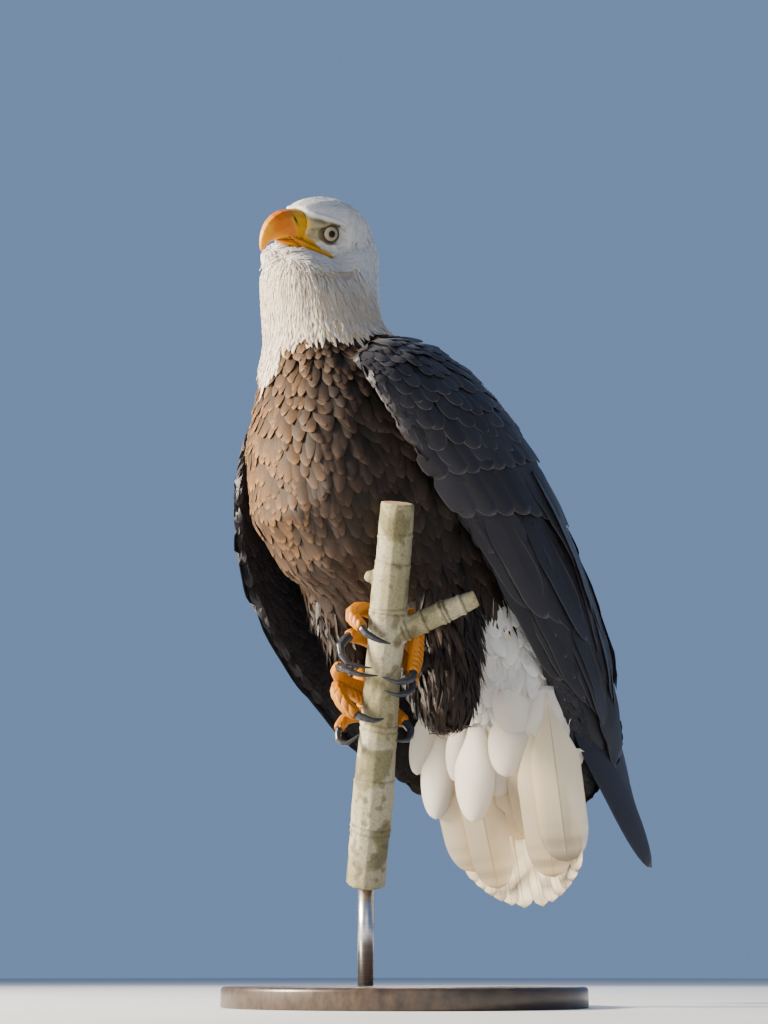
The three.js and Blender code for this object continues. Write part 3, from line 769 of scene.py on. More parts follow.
WHITE_FEATHER = feather_material("white_feathers", 0.75, 110.0, 0.10, 0.15, (1, 1, 1), soft=0.5)
BROWN_FEATHER = feather_material("brown_feathers", 0.68, 95.0, 0.8, 0.06, (0.75, 0.55, 0.4), soft=0.15)
DARK_FEATHER = feather_material("dark_feathers", 0.48, 95.0, 0.5, 0.12, (0.6, 0.62, 0.7))
SKIN = mottled("skin", 900.0, 4.0, 0.6, [(0.3, (0.78, 0.76, 0.74)), (0.7, (1, 1, 1))], (0.35, 0.0006),
               Roughness=0.5, Specular_IOR_Level=0.4)
EYE = mottled("eye", 2500.0, 2.0, 0.5, [(0.3, (0.8, 0.8, 0.8)), (0.7, (1, 1, 1))],
              Roughness=0.3, Specular_IOR_Level=0.15, Coat_Weight=0.15, Coat_Roughness=0.05)
BILL = mottled("bill", 260.0, 5.0, 0.6, [(0.25, (0.86,) * 3), (0.75, (1, 1, 1))], (0.12, 0.0006),
               Roughness=0.45, Coat_Weight=0.0, Coat_Roughness=0.25, Specular_IOR_Level=0.25)
CLAW = mottled("claw", 500.0, 5.0, 0.6, [(0.25, (0.6,) * 3), (0.75, (1, 1, 1))], (0.12, 0.0006),
               Roughness=0.28, Coat_Weight=0.4, Coat_Roughness=0.25, Specular_IOR_Level=0.25)
BARK = mottled("bark", 420.0, 6.0, 0.65, [(0.3, (0.62, 0.60, 0.56)), (0.62, (1, 1, 1))], (0.55, 0.0012),
               Roughness=0.75, Specular_IOR_Level=0.3)
GRAIN = [(0.32, (0.020, 0.012, 0.008)), (0.5, (0.050, 0.030, 0.018)), (0.68, (0.085, 0.052, 0.030))]
STAND_WOOD = mottled("stand_wood", 9.0, 6.0, 0.6, GRAIN, (0.08, 0.0008), (14.0, 1.3, 8.0), False,
                     Roughness=0.38, Coat_Weight=0.3, Coat_Roughness=0.2)
STAND_METAL = mottled("stand_metal", 1.0, 3.0, 0.5, [(0.3, (0.42, 0.42, 0.43)), (0.7, (0.60, 0.60, 0.61))],
                      stretch=(30.0, 30.0, 900.0), tinted=False, Metallic=1.0, Roughness=0.32)
FLOOR = mottled("floor", 3.0, 2.0, 0.5, [(0.3, (0.60, 0.61, 0.62)), (0.7, (0.64, 0.65, 0.66))], tinted=False,
                Roughness=0.8)

# ---- colours -----------------------------------------------------------------------------------------
SNOW = np.array([0.80, 0.79, 0.76])
# Cream and ivory: partly the tail's and coverts' own tint, partly a painted warm glow of light shining
# through them.
CREAM_WITH_GLOW = np.array([0.80, 0.66, 0.44])
IVORY_WITH_GLOW = mix(SNOW, CREAM_WITH_GLOW, 0.5)
# The throat's cream: partly stain, partly painted warm shade.
STAIN_AND_SHADE = np.array([0.62, 0.45, 0.25])
STREAK = np.array([0.40, 0.31, 0.21])
SMUDGE = np.array([0.13, 0.12, 0.11])
TAIL_EDGE = np.array([0.30, 0.22, 0.13])
TAIL_SHAFT = np.array([[0.16, 0.11, 0.07]])
TAN = np.array([0.085, 0.038, 0.010])
UMBER = np.array([0.034, 0.020, 0.013])
BUFF = np.array([0.25, 0.140, 0.062])
SOOT = np.array([0.018, 0.017, 0.021])
ASH = np.array([0.16, 0.15, 0.155])
FOOT_TONE = np.array([0.47, 0.165, 0.0])
FOOT_GROOVE = FOOT_TONE * [0.45, 0.32, 0.3]
LORE_TONE = np.array([0.36, 0.30, 0.15])
# The lore: its lower part, its upper part under the brow with painted shade, and its yellow front by the
# cere.
LORE_LOW, LORE_SHADED, LORE_FRONT = np.array([[0.50, 0.43, 0.27], [0.34, 0.29, 0.17], [0.62, 0.42, 0.06]])
LORE_CORNER = np.array([0.42, 0.34, 0.15])
LID_TONE = np.array([0.055, 0.045, 0.035])
IRIS, PUPIL, LIMBUS = np.array([[0.40, 0.33, 0.22], [0.003, 0.003, 0.003], [0.016, 0.013, 0.010]])
CERE = np.array([0.58, 0.29, 0.0])
HORN = np.array([0.60, 0.145, 0.0])
HORN_EDGE = np.array([0.70, 0.30, 0.0])
HORN_ROOT = np.array([0.56, 0.20, 0.035])
NOSTRIL_TONE = np.array([0.02, 0.015, 0.01])
SEAM_TONE = np.array([0.25, 0.08, 0.01])
TALON = np.array([0.022, 0.024, 0.030])
BARK_DARK, BARK_PALE = np.array([[0.28, 0.25, 0.14], [0.42, 0.39, 0.27]])
LICHEN, SPECK = np.array([[0.14, 0.13, 0.055], [0.12, 0.09, 0.05]])
WOOD_PALE, WOOD_DARK = np.array([[0.62, 0.46, 0.27], [0.45, 0.30, 0.16]])


def under_collar(points):
    """How far below the white hood's lower edge a place is, in mm: a bib hangs lower at the front."""
    x, y, z = points[..., 0], points[..., 1], points[..., 2]
    edge = 352 + 0.42 * (y + 26) + smooth(-50, -88, y) * (-26 + 40 * smooth(-6, 38, np.abs(x + 20)))
    return edge - z


def past_vent(points):
    """How far behind the brown belly's end a place is, in mm."""
    return (points - [0, 150, 98]) @ unit([0, 0.5, -1])


def varied(base, amount, n=None):
    """Tones as bright as base, more or less: (n, 3)."""
    n = len(base) if n is None else n
    return np.broadcast_to(base, (n, 3)) * np.exp(RNG.normal(0, amount, (n, 1)))


def breast_colour(points):
    """Warm tan in front, darker at both sides, down the belly and on the back; towards +x, away from the key
    light, the darkening is painted shade.
    """
    x, y, z = points.T
    # Painted shade: the terms that darken towards +x, in dark and in side, stand for the side away from the
    # key light.
    dark = np.clip(smooth(230, 90, z) + 0.95 * smooth(0, 55, x) + smooth(0, 60, y), 0, 1)
    side = mix(0.5, 1.0, smooth(-100, -45, x)) * mix(1.0, 0.55, smooth(40, 85, x))
    return tinge(TAN, UMBER, dark) * side[:, None]


def shaded_at_root(tone, shade, start, end, shares):
    """Painted shade at the root, where the feather lies under its neighbours, up to the full tone along the
    feather: (n, r, 3).
    """
    along = smooth(start, end, shares)[None, :, None]
    return tone[:, None] * mix(shade, 1.0, along)


# ---- skin: one surface under all the feathers, with bare lores, eyelids, legs and toes -------------------
COAT_DEPTH = {"head": 2.5, "neck": 6, "trunk": 7, "rump": 8, "thigh_left": 7, "thigh_right": 7,
              "wing_left": 3.5, "wing_right": 3.5, "shank_left": 0.5, "shank_right": 0.5}
EYE_MIDDLE, EYE_RADIUS = np.array([23.2, -3.0, -0.5]), 11.5
GAZE = unit([0.86, -0.48, 0.12])
GAZE_ACROSS = unit(np.cross(GAZE, [0, 0, 1]))
GAZE_UP = np.cross(GAZE_ACROSS, GAZE)
IRIS_ANGLE = 43.0
GAPE_LINE = np.array(
    [(10.5, -43, -9.5), (18, -32, -14.5), (25.5, -21, -18.5), (30.5, -7, -22), (32, 0, -23.5)]
)


def mirrored(points, side):
    return np.asarray(points, float) * [SIDES[side], 1, 1]


def folded(points):
    """Head places with the right side folded over onto the left."""
    local = to_head(points)
    local[:, 0] = np.abs(local[:, 0])
    return local


def off_gaze(points):
    """How far a place is from the line of sight through the eye's middle."""
    away = folded(points) - EYE_MIDDLE
    along = (away * GAZE).sum(1)
    return np.where(along > 0, np.linalg.norm(away - along[:, None] * GAZE, axis=1), 99.0)


def off_line(local, line):
    """Distance from a bent line, and the height over it at the nearest place."""
    best, drop = np.full(len(local), 99.0), np.zeros(len(local))
    for a, b in zip(line[:-1], line[1:]):
        share = np.clip(((local - a) @ (b - a)) / ((b - a) @ (b - a)), 0, 1)
        away = local - a - share[:, None] * (b - a)
        far = np.linalg.norm(away, axis=1)
        drop = np.where(far < best, away[:, 2], drop)
        best = np.minimum(best, far)
    return best, drop


def off_brow(y, z):
    """Height over the line under the brow, along which the brow's shadow is painted dark."""
    return z - np.interp(y, [-32, -20, -9, 3, 14, 24], [15.0, 14.0, 12.4, 10.6, 6.5, 1.5])


def lore_share(points):
    """1 on the bare skin between bill and eye, 0 away from it."""
    x, y, z = folded(points).T
    reach = (np.maximum(y + 22, 0) / 11.5) ** 2 + ((z - 2) / 12) ** 4
    return smooth(1.35, 0.75, reach) * (x > 7) * smooth(1, -1, off_brow(y, z))


def gape_skin(points):
    """1 on the bare yellow skin over the corner of the mouth, widest at the bill."""
    local = folded(points)
    x, y, _ = local.T
    away, drop = off_line(local, GAPE_LINE)
    width = np.interp(y, [-36, -28, -16, -5, 2], [12, 9.5, 6.0, 3.6, 2.5])
    return smooth(1, -1, away - width) * smooth(-0.5, 1.5, drop) * (x > 7)


def throat_shade(points):
    """The throat's feathers are stained cream and painted with warm shade, most on its left side, away from
    the key light.
    """
    x, y, z = to_head(points).T
    stain = smooth(-20, -40, z) * smooth(42, -5, y)
    return np.clip(stain * mix(0.45, 0.95, smooth(-12, 14, x)), 0, 1)


def brow_push(points):
    """How far the brow stands out, and the groove under it sinks, in mm."""
    x, y, z = folded(points).T
    along = smooth(-33, -24, y) * smooth(22, 8, y) * (x > 9)
    return along * (3.6 * hill(off_brow(y, z), 3.0, 3.4) - 1.5 * hill(off_brow(y, z), -2.0, 2.2))


def face_tone(points):
    x, y, z = folded(points).T
    # The throat's cream is partly stain, partly painted warm shade.
    tone = tinge(SNOW * 0.85, STAIN_AND_SHADE, throat_shade(points))
    # The lore darkens upwards, under the brow: painted shade.
    lore = tinge(tinge(LORE_LOW, LORE_SHADED, smooth(-6, 7, z)), LORE_FRONT, smooth(-25, -31, y) * 0.8)
    tone = tinge(tone, lore, lore_share(points))
    # Painted shadow of the brow ridge: a dark line just under the brow.
    line = 0.8 * hill(off_brow(y, z), -1.6, 2.4) * smooth(-34, -22, y) * smooth(20, 6, y)
    tone = tinge(tone, LID_TONE, line * (x > 9))
    tone = tinge(tone, CERE * 0.9, gape_skin(points))
    return tinge(tone, LORE_TONE * 0.8, smooth(13, 11, off_gaze(points)))


def spread_to_points(guide, values, rounds=7):
    """Values on quads, averaged onto the points and smoothed."""
    for _ in range(rounds):
        total, hits = np.zeros(len(guide.points)), np.zeros(len(guide.points))
        for corner in range(4):
            np.add.at(total, guide.quads[:, corner], values)
            np.add.at(hits, guide.quads[:, corner], 1)
        at_points = total / np.maximum(hits, 1)
        values = at_points[guide.quads].mean(1)
    return at_points


def body_skin():
    depth = np.array([COAT_DEPTH[n] for n in owner_names])[body.owner]
    points = body.points - body.normals * spread_to_points(body, depth)[:, None]
    white = (under_collar(body.points) < 0) | (past_vent(body.points) > 0)
    tone = np.where(white[:, None], SNOW * 0.85, UMBER * 0.6)
    owner = np.zeros(len(body.points), int)
    for corner in range(4):
        owner[body.quads[:, corner]] = body.owner
    for side in SIDES:
        for part, part_tone in (("wing", SOOT), ("thigh", UMBER * 0.5), ("shank", FOOT_TONE)):
            tone[owner == owner_names.index(f"{part}_{side}")] = part_tone
    return points, tone, body.quads


def face_skin():
    gape = gape_skin(face.points)
    bare = np.maximum(np.maximum(lore_share(face.points), smooth(16, 12, off_gaze(face.points))), gape)
    depth = mix(1.6, 0.0, bare) - brow_push(face.points) - 0.2 * gape
    return face.points - face.normals * depth[:, None], face_tone(face.points), face.quads


def round_gaze(around):
    """Angles round the line of sight and the unit ways out from it."""
    turn = np.linspace(0, 2 * np.pi, around, endpoint=False)
    return turn, GAZE_ACROSS * np.cos(turn)[:, None] + GAZE_UP * np.sin(turn)[:, None]


# The rings of an eyelid: radius round the line of sight, and rise off the eyeball.
LID_RINGS = [(7.8, -0.6), (7.9, 0.5), (8.3, 1.25), (9.0, 1.35), (9.9, 0.9), (11.2, 0.1), (12.8, -2.2)]


def eyelids(side):
    """A soft ring of skin round the eyeball's opening, heaviest over the eye."""
    turn, out = round_gaze(64)
    over, corner = np.clip(np.sin(turn), 0, 1), np.abs(np.cos(turn)) ** 6
    points, tones = [], []
    for k, (radius, rise) in enumerate(LID_RINGS):
        radius = radius * (1 + 0.10 * corner * (k < 5)) - 0.7 * over * (k < 4)
        height = np.sqrt(np.maximum(EYE_RADIUS**2 - radius**2, 4)) + rise + 0.9 * over * (1 < k < 6)
        points.append(out * radius[:, None] + GAZE * height[:, None])
        tones.append(np.broadcast_to(mix(LID_TONE, LORE_TONE, smooth(3, 5.5, float(k))), out.shape))
    quads = rings(len(LID_RINGS), len(turn))[0]
    if side == "right":
        quads = quads[:, ::-1]
    return from_head(mirrored(np.concatenate(points) + EYE_MIDDLE, side)), np.concatenate(tones), quads


# The stem, and places round it: an angle from TOWARDS, a height along it and a distance from it.
TOWARDS, RIGHTWARD, UP = unit([1, -1, 0]), unit([1, 1, 0]), np.array([0.0, 0.0, 1.0])
STEM_FOOT = np.array([65.0, 0.0, 0.0])
STEM_AXIS = UP + 0.09 * RIGHTWARD + 0.45 * TOWARDS
STEM_LEAN = unit(STEM_AXIS)
STEM_FRONT = unit(TOWARDS - (TOWARDS @ STEM_LEAN) * STEM_LEAN)
STEM_RIGHT = unit(RIGHTWARD - (RIGHTWARD @ STEM_LEAN) * STEM_LEAN)


def stem_places(points):
    """(angle in radians, height in mm, distance in mm) of places round the stem."""
    away = points - STEM_FOOT
    height = away @ STEM_LEAN
    off = away - height[:, None] * STEM_LEAN
    return np.arctan2(off @ STEM_RIGHT, off @ STEM_FRONT), height, np.linalg.norm(off, axis=1)


SCUTE_PITCH = 4.0
TOE_REACH = 33.0  # from the stem's middle to a toe's top


def toe_skin(side, k):
    """A toe with a row of scutes over its top and knobbly pads against the bark."""
    points, normals, quads = rebuilt([f"toe_{side}_{k}"], 0.9, 0.1, 6)
    angle, height, _ = stem_places(points)
    outward = unit(points - STEM_FOOT - height[:, None] * STEM_LEAN)
    top = np.clip((normals * outward).sum(1), -1, 1)
    run = angle * TOE_REACH + height * 0.35
    wave = np.abs(np.sin(np.pi * run / SCUTE_PITCH))
    scutes = 1.15 * (wave**0.5 - 0.75) * smooth(-0.2, 0.4, top)
    pads = 0.6 * np.sin(run * 1.6) * np.cos(height * 1.3 + k) * smooth(0.2, -0.4, top)
    groove = smooth(0.5, 0.0, wave) * smooth(-0.1, 0.4, top)
    tone = tinge(FOOT_TONE * RNG.uniform(0.93, 1.05), FOOT_GROOVE, groove * 0.75)
    return points + normals * (scutes + pads)[:, None], tone, quads


LORE_PATCH = {"bird": (8.2, -60.5, 487.7), "radius": 6.8}


def lore_patch(side):
    """A rounded bit of skin that closes the corner between bill, lore and gape."""
    centre = mirrored(folded(np.array([LORE_PATCH["bird"]])), side)
    around, count = 20, 12
    turn = np.linspace(0, 2 * np.pi, around, endpoint=False)
    lean = np.linspace(0.02, np.pi - 0.02, count)[:, None]
    ball = np.stack([np.sin(lean) * np.cos(turn), np.sin(lean) * np.sin(turn), np.cos(lean) + 0 * turn], -1)
    points = from_head(centre + ball.reshape(-1, 3) * LORE_PATCH["radius"])
    return points, np.broadcast_to(LORE_CORNER, points.shape), rings(count, around)[0]


SKIN_KEPT = 0.7  # share of the skin's faces


def thin_out(skin, covered):
    """Fewer faces where feathers hide the skin: on its first covered points."""
    group = skin.vertex_groups.new(name="covered")
    group.add(list(range(covered)), 1.0, "REPLACE")
    thin = skin.modifiers.new("thin", "DECIMATE")
    thin.ratio, thin.vertex_group = SKIN_KEPT, group.name
    skin_mesh = bpy.data.meshes.new_from_object(skin.evaluated_get(bpy.context.evaluated_depsgraph_get()))
    skin.modifiers.clear()
    skin.vertex_groups.clear()
    skin.data = skin_mesh


def build_skin():
    parts = [body_skin(), face_skin()] + [part(side) for part in (eyelids, lore_patch) for side in SIDES]
    parts += [toe_skin(side, k) for side in SIDES for k in range(1, 5)]
    points, tones, quads = zip(*parts)
    starts = np.cumsum([0] + [len(p) for p in points])
    skin = mesh_object("skin", np.concatenate(points), [q + start for q, start in zip(quads, starts)])
    vertex_colour(skin, "tint", np.concatenate(tones))
    bpy.context.view_layer.objects.active = skin
    skin.select_set(True)
    bpy.ops.object.mode_set(mode="EDIT")
    bpy.ops.mesh.select_all(action="SELECT")
    bpy.ops.uv.smart_project(angle_limit=math.radians(70), island_margin=0.002)
    bpy.ops.object.mode_set(mode="OBJECT")
    layer = skin.data.uv_layers[0]
    layer.name = "OFBake"
    uv = read_out(layer.data, "uv", 2).reshape(-1, 4, 2).mean(1)
    body.uv, face.uv = uv[: len(body.quads)], uv[len(body.quads):][: len(face.quads)]
    thin_out(skin, len(body.points))
    wear(skin, SKIN, "foot_skin", *FLESH, *LEGS, *[f"toe_{side}_{k}" for side in SIDES for k in range(1, 5)])


build_skin()


# ---- eyes --------------------------------------------------------------------------------------------
def build_eye(side):
    """A ball with a bulging cornea; its colours run in rings out from the line of sight."""
    turn, out = round_gaze(72)
    off = np.linspace(0.5, 120, 40)  # degrees from the line of sight
    radius = EYE_RADIUS + 0.8 * np.clip(1 - (off / (IRIS_ANGLE + 4)) ** 2, 0, 1)
    lean = np.radians(off)[:, None, None]
    points = radius[:, None, None] * (np.sin(lean) * out[None] + np.cos(lean) * GAZE)
    streak = np.tile(0.08 * np.sin(turn * 17) + 0.06 * np.sin(turn * 29 + 1), len(off))
    share = np.repeat(off / IRIS_ANGLE, len(turn))
    tone = IRIS * ((1 + streak) * mix(0.7, 1.1, smooth(0.46, 0.75, share)))[:, None]
    tone = tinge(tinge(tone, PUPIL, smooth(0.44, 0.40, share)), LIMBUS, smooth(0.84, 0.96, share))
    polygons = rings(len(off), len(turn))
    if side == "right":
        polygons = [p[:, ::-1] for p in polygons]
    points = from_head(mirrored(points.reshape(-1, 3) + EYE_MIDDLE, side))
    tinted_piece(f"eyeball_{side}", points, tone, polygons, EYE, "eye", f"eye_{side}")


for side in SIDES:
    build_eye(side)


# ---- bill and claws ----------------------------------------------------------------------------------
NOSTRIL = (-44.0, 9.8)  # back and up
CERE_EDGE = ([-12, -4, 4, 11, 15, 18], [-34, -40, -46, -50, -47, -41])


def upper_bill():
    points, normals, quads = rebuilt(["bill_upper"], 0.75, 0.0, 5)
    local = folded(points)
    x, y, z = local.T
    edge = y - np.interp(z, *CERE_EDGE)
    on_cere = smooth(-2.0, 2.0, edge)
    back, up = y - NOSTRIL[0], z - NOSTRIL[1]
    slit = hill(back + 0.65 * up, 0, 1.5) * hill(up, 0, 3.4) * (x > 6)
    swell = 0.45 * on_cere * smooth(14, 0, edge)
    tone = tinge(HORN, HORN_EDGE, smooth(-3, -11, z) * smooth(-78, -60, y))
    tone = tinge(tone, HORN_EDGE, smooth(-66, -74, y) * 0.8)
    tone = tinge(tone, HORN_ROOT, smooth(-62, -48, y) * 0.5)
    tone = tinge(tinge(tone, CERE, on_cere), NOSTRIL_TONE, slit * 1.6)
    away, drop = off_line(local, GAPE_LINE)
    seam = hill(drop, -0.4, 0.55) * smooth(5, 4, away) * smooth(-46, -40, y)
    tone = tinge(tone, SEAM_TONE, seam * 0.9)
    hidden = smooth(-30.5, -28, y) * smooth(3.6, 5.5, away)
    blended = smooth(-32, -42, y) * smooth(5.5, 3.5, away)
    rise = swell - 2.2 * slit - 0.5 * seam - 6 * hidden - 1.6 * blended
    return points + normals * rise[:, None], tone, [quads]


def lower_bill():
    points, _, quads = rebuilt(["bill_lower"], 0.75, 0.0, 4)
    local = to_head(points)
    _, y, z = local.T
    tone = tinge(HORN_EDGE, HORN, smooth(-40, -60, y))
    tomium = np.interp(y, [-62, -43, -32, -21], [-8.5, -10.5, -15, -19])
    local[:, 2] = z + np.maximum(tomium - 2.5 - z, 0) * 0.45
    return from_head(local), tone, [quads]


tinted_piece("bill_top", *upper_bill(), BILL, "bill", "bill_upper")
tinted_piece("bill_bottom", *lower_bill(), BILL, "bill", "bill_lower")
for side in SIDES:
    for k in range(1, 5):
        points, _, quads = rebuilt([f"claw_{side}_{k}"], 0.6, 0.15, 5)
        streaks = 0.5 + 0.5 * np.sin(stem_places(points)[1] * 3.1)
        tone = TALON * (1 + 0.6 * streaks[:, None])
        tinted_piece(f"talon_{side}_{k}", points, tone, [quads], CLAW, "claw", f"claw_{side}_{k}")


# ---- head and neck feathers --------------------------------------------------------------------------
def scattered(guide, parts, spacing, extra=None):
    """Roots on the named CAD nodes, spacing mm apart, where extra(points, normals) holds, and their UVs."""
    mask = owned_by(guide, *parts)
    roots, quads = guide.scatter(
        lambda p: spacing(p) if callable(spacing) else np.full(len(p), float(spacing)),
        lambda p, n: mask if extra is None else mask & extra(p, n),
    )
    return roots, guide.uv[quads]


def plant(flock, guide, kind, places, length, width, tones, depth, tip, rows, columns, shape, lift=None,
          **extra):
    """Feathers at places, (roots, uv), with lengths and widths in mm drawn between two sizes."""
    roots, uv = places
    n = len(roots)
    length, width, colour = RNG.uniform(*length, n), RNG.uniform(*width, n), tones(roots)
    lift = None if lift is None else np.abs(RNG.normal(0, lift, n))
    grow(flock, guide, roots, kind, length, width, depth, tip=tip, rows=rows, columns=columns, shape=shape,
         root_uv=uv, colour=colour, lift=lift, **extra)


def head_sizes(points):
    """Short round the bill and eyes, longer back over the crown and cheeks."""
    from_bill = np.linalg.norm((folded(points) - [8, -34, -4]) * [0.8, 1, 0.8], axis=1)
    return mix(4.5, 20.0, smooth(12, 75, from_bill))


def off_gape(points):
    return off_line(folded(points), GAPE_LINE)[0]


def feathered(points, _):
    """Off the bare skin, the bill and the groove under the brow."""
    x, y, z = folded(points).T
    cere = (y < -31.5) & (z > -12)
    groove = (np.abs(off_brow(y, z) + 1.4) < 1.2) & (y < 12) & (x > 9)
    bare = np.maximum(lore_share(points), gape_skin(points))
    return (off_gaze(points) > 12.2) & (off_gape(points) > 3.4) & (bare < 0.5) & ~cere & ~groove


def white_tone(points, amount=0.05):
    """White, stained cream and painted with warm shade on the throat, with a faint brown streak behind the
    eye and over the crown.
    """
    n = len(points)
    _, y, z = folded(points).T
    tone = varied(SNOW, amount, n)
    tone = tinge(tone, STAIN_AND_SHADE, throat_shade(points) * RNG.uniform(0.4, 1.0, n))
    streak = 0.45 * hill(z, 1 - 0.12 * y, 3.0) * smooth(10, 16, y) * smooth(46, 30, y)
    crown = (RNG.random(n) < 0.16) * smooth(5, 30, y) * smooth(0, 15, z) * 0.3
    return tinge(tone, STREAK, streak + crown)


def white_tones(amount):
    return lambda roots: white_tone(roots, amount)


def plain_tones(base, amount):
    return lambda roots: varied(base, amount, len(roots))


def on_chin(points, normals):
    _, y, z = to_head(points).T
    return feathered(points, normals) & (y < -26) & (np.abs(z + 25) < 11) & (off_gape(points) > 4.5)


coat_head = Flock("coat_head")
roots, uv = scattered(face, ["head"], lambda p: head_sizes(p) * 0.15 + 0.3, feathered)
n, size = len(roots), head_sizes(roots)
shy = smooth(3.3, 9, off_gape(roots)) * smooth(12, 17, off_gaze(roots))
length = size * RNG.uniform(0.9, 1.2, n) * mix(0.5, 1, shy)
grow(coat_head, face, roots, "head", length, size * 0.24 + 0.6, 1.2, tip=0.2 + 0.02 * size, rows=4,
     columns=3, shape=SOFT_TIP, root_uv=uv, colour=white_tone(roots), hug=False, tilt=0.03, camber=0.05,
     noise=0.1)
# The chin's feathers stand up round the lower bill.
chin = scattered(face, ["head"], 1.9, on_chin)
rise = mix(1.0, 3.4, smooth(-30, -48, to_head(chin[0])[:, 1]))
plant(coat_head, face, "head", chin, (9, 17), (1.4, 2.4), white_tone, -0.5, rise, 5, 3, SOFT_TIP,
      hug=False, wander=0.15, tilt=0.03, camber=0.05, noise=0.5)

coat_hood = Flock("coat_hood")


def hood_roots(spacing, low, high):
    """Roots over the neck and the back of the head, from low to high mm under the hood's edge."""

    def inside(points, _):
        _, y, z = folded(points).T
        depth = under_collar(points)
        low_enough = z < np.interp(y, [-10, 8], [-36, -28])
        return (depth > low) & (depth < high) & ((y > 20) | low_enough) & (points[:, 2] > 250)

    return scattered(body, ["head", "neck", "trunk"], spacing, inside)


# A broad base that closes the hood, fine strands over it, and a ragged row of lancets along its edge.
plant(coat_hood, body, "body", hood_roots(5.2, -300, -24), (26, 40), (10, 14), white_tones(0.03),
      3.0, 0.5, 6, 5, SOFT_TIP, tilt=0.02, camber=0.02, noise=0.1)
plant(coat_hood, body, "body", hood_roots(2.7, -300, -20), (14, 28), (1.4, 3.2), white_tones(0.035),
      0.2, 0.7, 5, 3, LANCET, lift=0.3, hug=False, wander=0.10, tilt=0.02, camber=0.02, noise=0.1)
plant(coat_hood, body, "body", hood_roots(4.6, -34, -12), (14, 32), (5, 8.5), white_tones(0.05),
      1.2, 1.6, 6, 5, LANCET, wander=0.12, tilt=0.05, camber=0.08, noise=0.4)
coat_head.finish(WHITE_FEATHER, "white_feathers")
coat_hood.finish(WHITE_FEATHER, "white_feathers")

# ---- breast, belly and thighs ------------------------------------------------------------------------
coat_breast = Flock("coat_breast")
roots, uv = scattered(body, ["trunk", "neck"], lambda p: mix(6.0, 8.2, smooth(350, 280, p[:, 2])),
                      lambda p, n: under_collar(p) > -14)
n = len(roots)
size = mix(24, 42, smooth(350, 250, roots[:, 2])) * RNG.uniform(0.8, 1.2, n)
tone = varied(breast_colour(roots), 0.3)
# Painted light: the fringes turn paler high up and towards -x, where the key light falls.
lit = smooth(110, 200, roots[:, 2:3]) * smooth(60, 0, roots[:, :1])
pale = mix(tone * 1.5, BUFF, RNG.uniform(0.1, 0.8, (n, 1)) * lit)
shares = tip_rows(8)
# Colour and fringe carry painted shade towards each feather's root.
grow(coat_breast, body, roots, "body", size, size * RNG.uniform(0.42, 0.54, n), 4.5, tip=0.2, rows=8,
     shape=SCALE, root_uv=uv, colour=shaded_at_root(tone, 0.35, 0.4, 0.9, shares),
     fringe=shaded_at_root(pale, 0.45, 0.4, 0.85, shares), wander=0.2, tilt=0.05, fringe_tip=0.09,
     fringe_width=0.15, lift=np.abs(RNG.normal(0, 0.45, n)))
coat_breast.finish(BROWN_FEATHER, "brown_feathers")

coat_thighs = Flock("coat_thighs")
thighs = scattered(body, ["thigh_left", "thigh_right"], 5.4)
plant(coat_thighs, body, "leg", thighs, (24, 44), (4, 9), plain_tones(UMBER * 0.5, 0.3), 5, 2.5, 6, 3,
      SHAGGY, lift=3.0, hug=False, wander=0.24, tilt=0.15)
# The belly's last dark feathers hang over the white ones.
belly_end = scattered(body, ["trunk", "rump"], 6.0, lambda p, n: np.abs(past_vent(p) + 6) < 20)
plant(coat_thighs, body, "body", belly_end, (26, 46), (6, 12), plain_tones(UMBER * 0.5, 0.3), 3, 5, 6, 3,
      SHAGGY, lift=2.5, hug=False, wander=0.3, tilt=0.12)
coat_thighs.finish(DARK_FEATHER, "dark_feathers")

# ---- vent and undertail coverts ----------------------------------------------------------------------
# The tail's frame, shared by its feathers and the long coverts that run down onto them.
TAIL_ROOT = np.array([-5.0, 252.0, 72.0])
TAIL_TILT, TAIL_LEAN = math.radians(8.5), math.radians(2.5)
TAIL_DOWN = unit([math.sin(TAIL_LEAN), math.sin(TAIL_TILT), -math.cos(TAIL_TILT)])
TAIL_FACE = np.array([0.0, -math.cos(TAIL_TILT), -math.sin(TAIL_TILT)])
TAIL_ACROSS = np.cross(TAIL_FACE, TAIL_DOWN)
TAIL_LENGTH, TAIL_WIDTH, TAIL_SPREAD = 298.0, 50.0, math.radians(21)
TAIL_FEATHERS, TAIL_ROWS = 12, 30
COVERT_FACE = (0.6, -0.75, -0.25)
MIDDLE_UV = np.array([[0.5, 0.5]])


def tail_place(share, along):
    """A place on the fan: share -1 to 1 across it, along it in mm."""
    angle = TAIL_SPREAD / 2 * share
    way = TAIL_DOWN * math.cos(angle) + TAIL_ACROSS * math.sin(angle)
    return TAIL_ROOT + np.array([24 * share, 0, 0]) + TAIL_FACE * 9 * abs(share) + way * along


def tail_tone(k):
    """Cream, partly the feathers' own tint and partly a painted warm glow of light through them, with grey
    smudges towards the tip: (1, TAIL_ROWS, 3).
    """
    along = tip_rows(TAIL_ROWS, BLADE_CROWD)
    tone = np.broadcast_to(CREAM_WITH_GLOW, (TAIL_ROWS, 3)) * RNG.uniform(0.90, 1.03)
    smudge = smooth(0.70, 0.95, along) * RNG.uniform(0.5, 1.0) * (0.6 + 0.4 * np.sin(along * 60 + k * 2.1))
    return tinge(tone, SMUDGE, smudge)[None]


